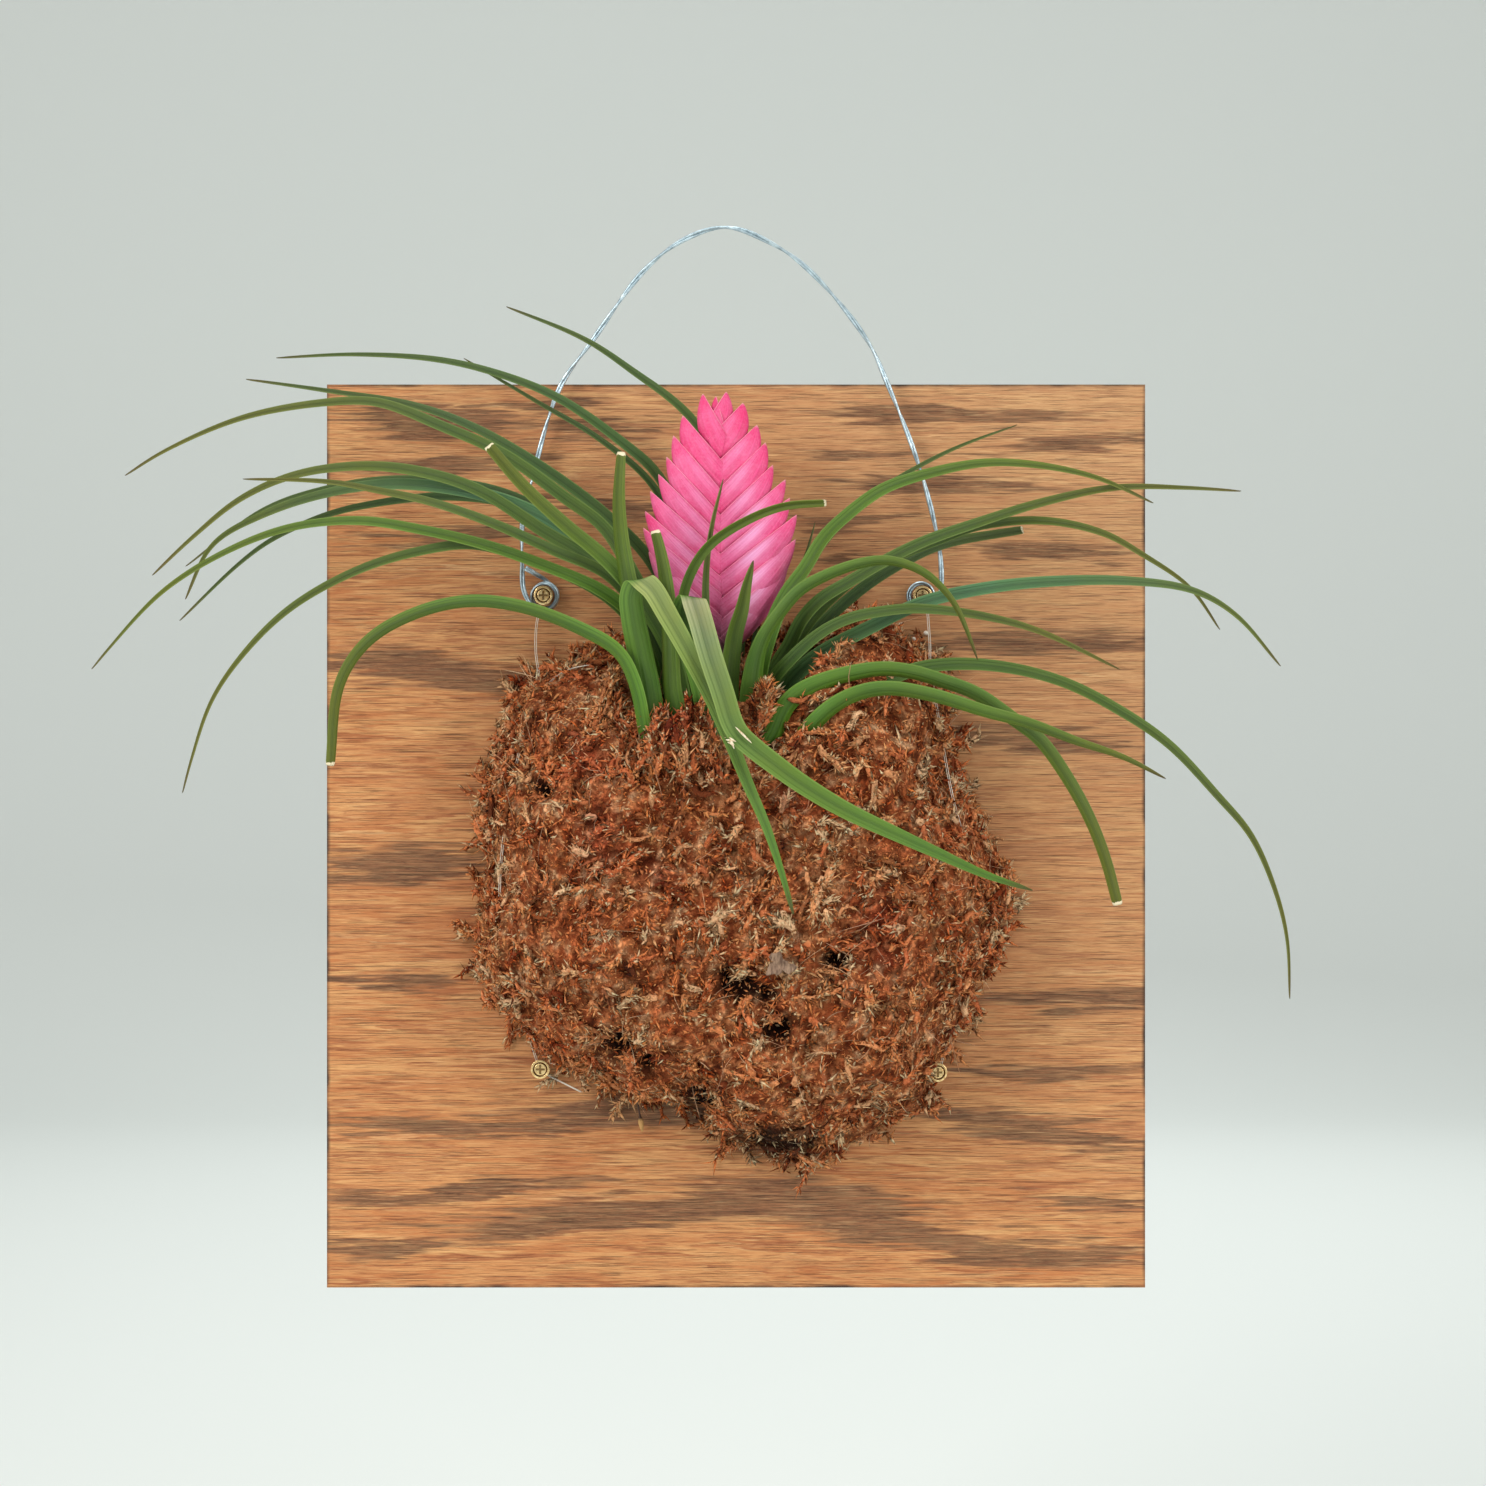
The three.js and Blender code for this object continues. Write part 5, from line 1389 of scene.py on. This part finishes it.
# Flakes clothe the cords as scales do, leaning along them and standing off a little. A share lies
# on the core.
def makeFlakes(name, kind, paths, ups, radii, cordTints):
    number, lengthSpan, widthSpan, onCore = kind
    rings = paths.shape[1]
    lengthOf = np.linalg.norm(np.diff(paths, axis=1), axis=2).sum(axis=1)
    chance = lengthOf * radii
    cord = random.choice(len(paths), number, p=chance / chance.sum())
    at = random.random(number) * (rings - 1.001)
    low = at.astype(int)
    part = (at - low)[:, None]
    centre = mix(paths[cord, low], paths[cord, low + 1], part)
    forward = unit(paths[cord, low + 1] - paths[cord, low])
    up = ups[cord, low]
    side = unit(np.cross(up, forward))
    up = np.cross(forward, side)
    around = np.clip(random.normal(0, 0.95, number), -2.2, 2.2)
    radial = np.cos(around)[:, None] * up + np.sin(around)[:, None] * side
    lean = random.uniform(0.05, 0.95, number)[:, None]
    ways = unit(forward * np.cos(lean) + radial * np.sin(lean) * 0.8 + random.normal(0, 0.38, (number, 3)))
    lengths = random.uniform(*lengthSpan, number)
    widths = random.uniform(*widthSpan, number)
    bends = random.normal(0, 0.34, (number, 3)) + radial * random.uniform(-0.35, 0.25, number)[:, None]
    # painted light: a flake on a cord's outer side is lighter than one on its flanks
    shade = random.uniform(*moss["flakeLight"], number) * (0.8 + 0.2 * np.cos(around))
    tints = withinOne(cordTints[cord] * shade[:, None])
    pale = (random.random(number) < moss["strawShare"]) * random.uniform(0.3, 0.95, number)
    deep = (random.random(number) < moss["darkShare"]) * 0.7
    tints = overlay(tints, (moss["straw"], pale), (moss["dark"], deep))
    roots = centre + radial * (radii[cord] * 0.6)[:, None]
    inGap = gapAt(roots)
    lengths *= 1 - 0.4 * inGap
    tints = tints * (1 - inGap[:, None] * moss["gapShade"])
    loose = int(number * onCore)
    roots[:loose], radial[:loose] = pickRoots(loose, outer)
    flowing = random.normal(0, 1, (loose, 3))
    outward = np.sum(flowing * radial[:loose], axis=1, keepdims=True)
    ways[:loose] = unit(flowing - radial[:loose] * outward * 0.7)
    looseTints = mossColours(roots[:loose])
    tints[:loose] = withinOne(looseTints * random.uniform(*moss["looseLight"], (loose, 1)))
    tints = tints ** moss["warmth"]
    makeSlivers(name, roots, ways, radial, lengths, widths, bends, (0.45,), tints)


def makeHairs():
    number = moss["hairs"]
    roots, outward = pickRoots(number, outer)
    drift = np.array([noise.noise_vector(Vector(p) / 15) for p in roots]) * 1.6
    ways = drift + random.normal(0, 0.6, (number, 3))
    ways -= outward * np.sum(ways * outward, axis=1, keepdims=True)
    ways = unit(unit(ways) + outward * random.uniform(0.05, 0.45, number)[:, None])
    bends = unit(random.normal(size=(number, 3)) - 0.5 * outward) * random.uniform(0.3, 0.8, number)[:, None]
    tints = mix(mossColours(roots), moss["straw"], 0.3)
    lengths = random.uniform(*moss["hairLength"], number)
    widths = random.uniform(*moss["hairWidth"], number)
    makeSlivers("moss_hairs", roots + outward * 0.8, ways, outward, lengths, widths, bends,
                (0.1, 0.35, 0.6, 0.85), tints)


# the core, seen deep between the cords and flakes, is painted in shade
coreColours = np.clip(mossColours(corners) * moss["coreShade"], 0, 1)
# painted dark in the hollows, as painted shade
paint(core.data, mix(coreColours, moss["dark"], hollowShade))
paths, ups, radii, rises = gatherCords()
# low cords lie in shade, and those that stand highest are the palest
cordLight = np.interp(rises, moss["cordRise"], (0.7, 1.2))
cordTints = mossColours(paths[:, moss["cordRings"] // 2]) * cordLight[:, None]
makeCords(paths, ups, radii, cordTints)
for i, kind in enumerate(moss["flakes"]):
    makeFlakes(f"moss_flakes_{i + 1}", kind, paths, ups, radii, cordTints)
makeHairs()
print("moss made, cords:", len(paths))

# clear fishing line over the moss from screw to screw, with short strands that show beside it
line = {
    "radius": 0.13, "spread": 0.55, "sag": 0.1, "facets": 6, "longSteps": 60, "shortSteps": 14,
    "clouds": (even, 160, 0.3, 0.7), "clear": seen(248, 242, 230), "milky": seen(206, 192, 172),
    # knots: x, z, depth, radius
    "knots": [(62.7, 67, 8, 0.75), (58.7, 65.1, 8, 0.6), (-53, -75.8, 7, 0.5)], "knotRings": 9,
    "routes": {
        "line_left": [
            (-64.7, 76.5, 6.4), (-66, 68, 7.5), (-66, 60, 9), (-65, 50, 14), (-71, 30, 27), (-76, 5, 31),
            (-78, -20, 30), (-76, -42, 25), (-70, -60, 15), (-67, -70, 6), (-65.5, -75, 5),
        ],
        "line_right": [
            (63, 76.5, 6.4), (63.5, 70, 7.5), (64, 62, 10), (64, 56, 14), (67, 38, 25), (71, 15, 31),
            (77, -10, 29), (78, -35, 25), (73, -55, 15), (69, -70, 6), (67.5, -76, 5),
        ],
    },
    "loose": [
        [(54.5, 70.5, 7), (50.5, 63.5, 14), (46.5, 56.5, 26), (42.5, 49, 35)],
        [(53, 69.5, 7), (48.5, 62, 14), (44, 55, 26), (39, 50, 35)],
        [(-66, 45, 13), (-60, 52, 22), (-54, 55.3, 30), (-48.8, 56.4, 34)],
        [(-62, -79, 3), (-57, -81.5, 4), (-51, -84.5, 2)],
        [(-61, -75, 4), (-57, -75.6, 5), (-53, -75.8, 7)],
        [(-64.6, -64, 9), (-63.5, -68, 6), (-63.4, -73, 4)],
        [(53, -82, 8), (57, -81.4, 6), (60, -80.6, 6)],
        [(-61, -52, 24), (-47, -38, 44), (-36, -29, 54)],
    ],
}

clearLine = twoTone("clearLine", {"Roughness": 0.3, "IOR": 1.5, "Transmission Weight": 0.1},
                    line["clouds"], line["clear"], line["milky"])
parts = []
for route in [*line["routes"].values(), *line["loose"]]:
    steps = line["longSteps" if route in line["routes"].values() else "shortSteps"]
    points = [place(*point) for point in route]
    for shift in (-0.5, 0.5):
        beside = [p + np.array([shift * line["spread"] * mm, -line["sag"] * mm, 0]) for p in points]
        path, _ = smoothRoute(beside, steps)
        parts.append(tubeArrays(path, line["radius"] * mm, line["facets"]))
for x, z, depth, radius in line["knots"]:
    middle = place(x, z, depth)
    offsets = np.linspace(-radius, radius, line["knotRings"]) * mm
    knot = [middle + np.array([s, 0.3 * s * s * 400, -0.4 * s]) for s in offsets]
    profile = radius * mm * np.sqrt(np.clip(1 - np.linspace(-0.96, 0.96, line["knotRings"]) ** 2, 0, 1))
    parts.append(tubeArrays(knot, profile, line["facets"]))
arrayPiece("line_strands", *joinArrays(parts), clearLine, "line", list(line["routes"]))
print("line made")

# a dry husk caught on the moss, and a seed stalk that hangs below it
litter = {
    "husk": (14.4, -42.6, 64.5), "huskSize": (10.5, 8), "huskThickness": 0.35, "huskGrid": (14, 10),
    "huskRibs": ((1, 0.3, 0.3), 900, 0.38, 0.64),
    "stalk": [(-36.3, -66, 24), (-34.6, -76, 14), (-33, -85.4, 7), (-31.8, -92, 4), (-30.9, -97.5, 3)],
    "stalkRadius": 0.3, "stalkSteps": 40, "stalkFacets": 8,
    "podRadius": 0.95, "podFrom": 0.87, "podOver": 0.13, "podShows": (4.6, 3.6),
    "grey": seen(156, 126, 102), "brown": seen(90, 64, 48), "bark": seen(74, 46, 30), "pod": seen(196, 150, 90),
}
drySkin = twoTone("dryHusk", {"Roughness": 0.7}, litter["huskRibs"], litter["grey"], litter["brown"],
                  bump=(0.0003, 1.0))
husk, flat = addGrid(*litter["huskGrid"])
flat = flat * 2
angle = np.arctan2(flat[:, 1], flat[:, 0])
# three lobes, torn at their rims
lobes = 0.74 + 0.26 * np.cos(3 * angle + 0.6) + 0.1 * np.cos(8 * angle) + 0.06 * np.sin(13 * angle)
reach = np.abs(flat[:, :2]).max(axis=1) * lobes
u, w = reach * np.cos(angle), reach * np.sin(angle)
middle = place(*litter["husk"]) / mm
corners = np.column_stack([
    middle[0] + u * litter["huskSize"][0] / 2,
    middle[1] - 1.5 * np.abs(w) + 0.9 * u * u - 0.5 * np.sin(5 * u),
    middle[2] + w * litter["huskSize"][1] / 2 - 0.6 * u,
])
husk.data.vertices.foreach_set("co", (corners * mm).ravel())
addThickness(husk, litter["huskThickness"], -1)
smoothAll(husk)
finishPiece(husk, "dry_husk", drySkin, "moss")

stalkBark, tree, shader = newMaterial("stalkBark", {"Roughness": 0.65})
where = objectPlace(tree)
podEnd = place(*litter["stalk"][-1])[2]
nearPod = ramp(tree, splitAxes(tree, where)["Z"], *[podEnd + above * mm for above in litter["podShows"]])
bark = fibres(tree, where, (1, 1, 0.3), 1500, 0.4, 0.6)
linkSkin(tree, shader, blendColours(tree, nearPod, litter["bark"], litter["pod"]), bump=(bark, 0.0002, 1.0))
path, _ = smoothRoute([place(*point) for point in litter["stalk"]], litter["stalkSteps"])
swell = np.clip((np.linspace(0, 1, litter["stalkSteps"] + 1) - litter["podFrom"]) / litter["podOver"], 0, 1)
bulge = (litter["podRadius"] - litter["stalkRadius"]) * np.sin(np.pi * swell**0.8)
seedStalk = tubeArrays(path, (litter["stalkRadius"] + bulge) * mm, litter["stalkFacets"])
arrayPiece("seed_stalk", *seedStalk, stalkBark, "moss")
print("husk and stalk made")

room = {
    "floor": -330, "back": 2600, "height": 2600, "half": 3200, "bend": 900, "bendSteps": 16,
    "colour": seen(232, 236, 233),
}
bpy.ops.object.select_all(action="DESELECT")
bpy.ops.mesh.primitive_plane_add(size=1, location=(0, 0, room["floor"] * mm))
cove = bpy.context.object
cove.scale = (2 * room["half"] * mm, 2 * room["back"] * mm, 1)
bpy.ops.object.transform_apply(location=True, rotation=True, scale=True)
bpy.ops.object.mode_set(mode="EDIT")
bpy.ops.mesh.select_mode(type="EDGE")


# Selects the edge at the back of the floor, where the wall starts.
def selectBackEdge():
    bpy.ops.mesh.select_all(action="DESELECT")
    bm = bmesh.from_edit_mesh(cove.data)
    for edge in bm.edges:
        edge.select = all(vert.co.y > room["back"] * mm * 0.9 and vert.co.z < room["floor"] * mm + 0.001
                          for vert in edge.verts)
    bmesh.update_edit_mesh(cove.data)


selectBackEdge()
bpy.ops.mesh.extrude_region_move(TRANSFORM_OT_translate={"value": (0, 0, room["height"] * mm)})
selectBackEdge()
bpy.ops.mesh.bevel(offset=room["bend"] * mm, segments=room["bendSteps"])
bpy.ops.object.mode_set(mode="OBJECT")
cove.name = "paleCove"
smoothAll(cove)
plain, tree, shader = newMaterial("plainPale", {"Roughness": 0.9, "Specular IOR Level": 0.1})
shader.inputs["Base Color"].default_value = colour4(room["colour"])
cove.data.materials.append(plain)
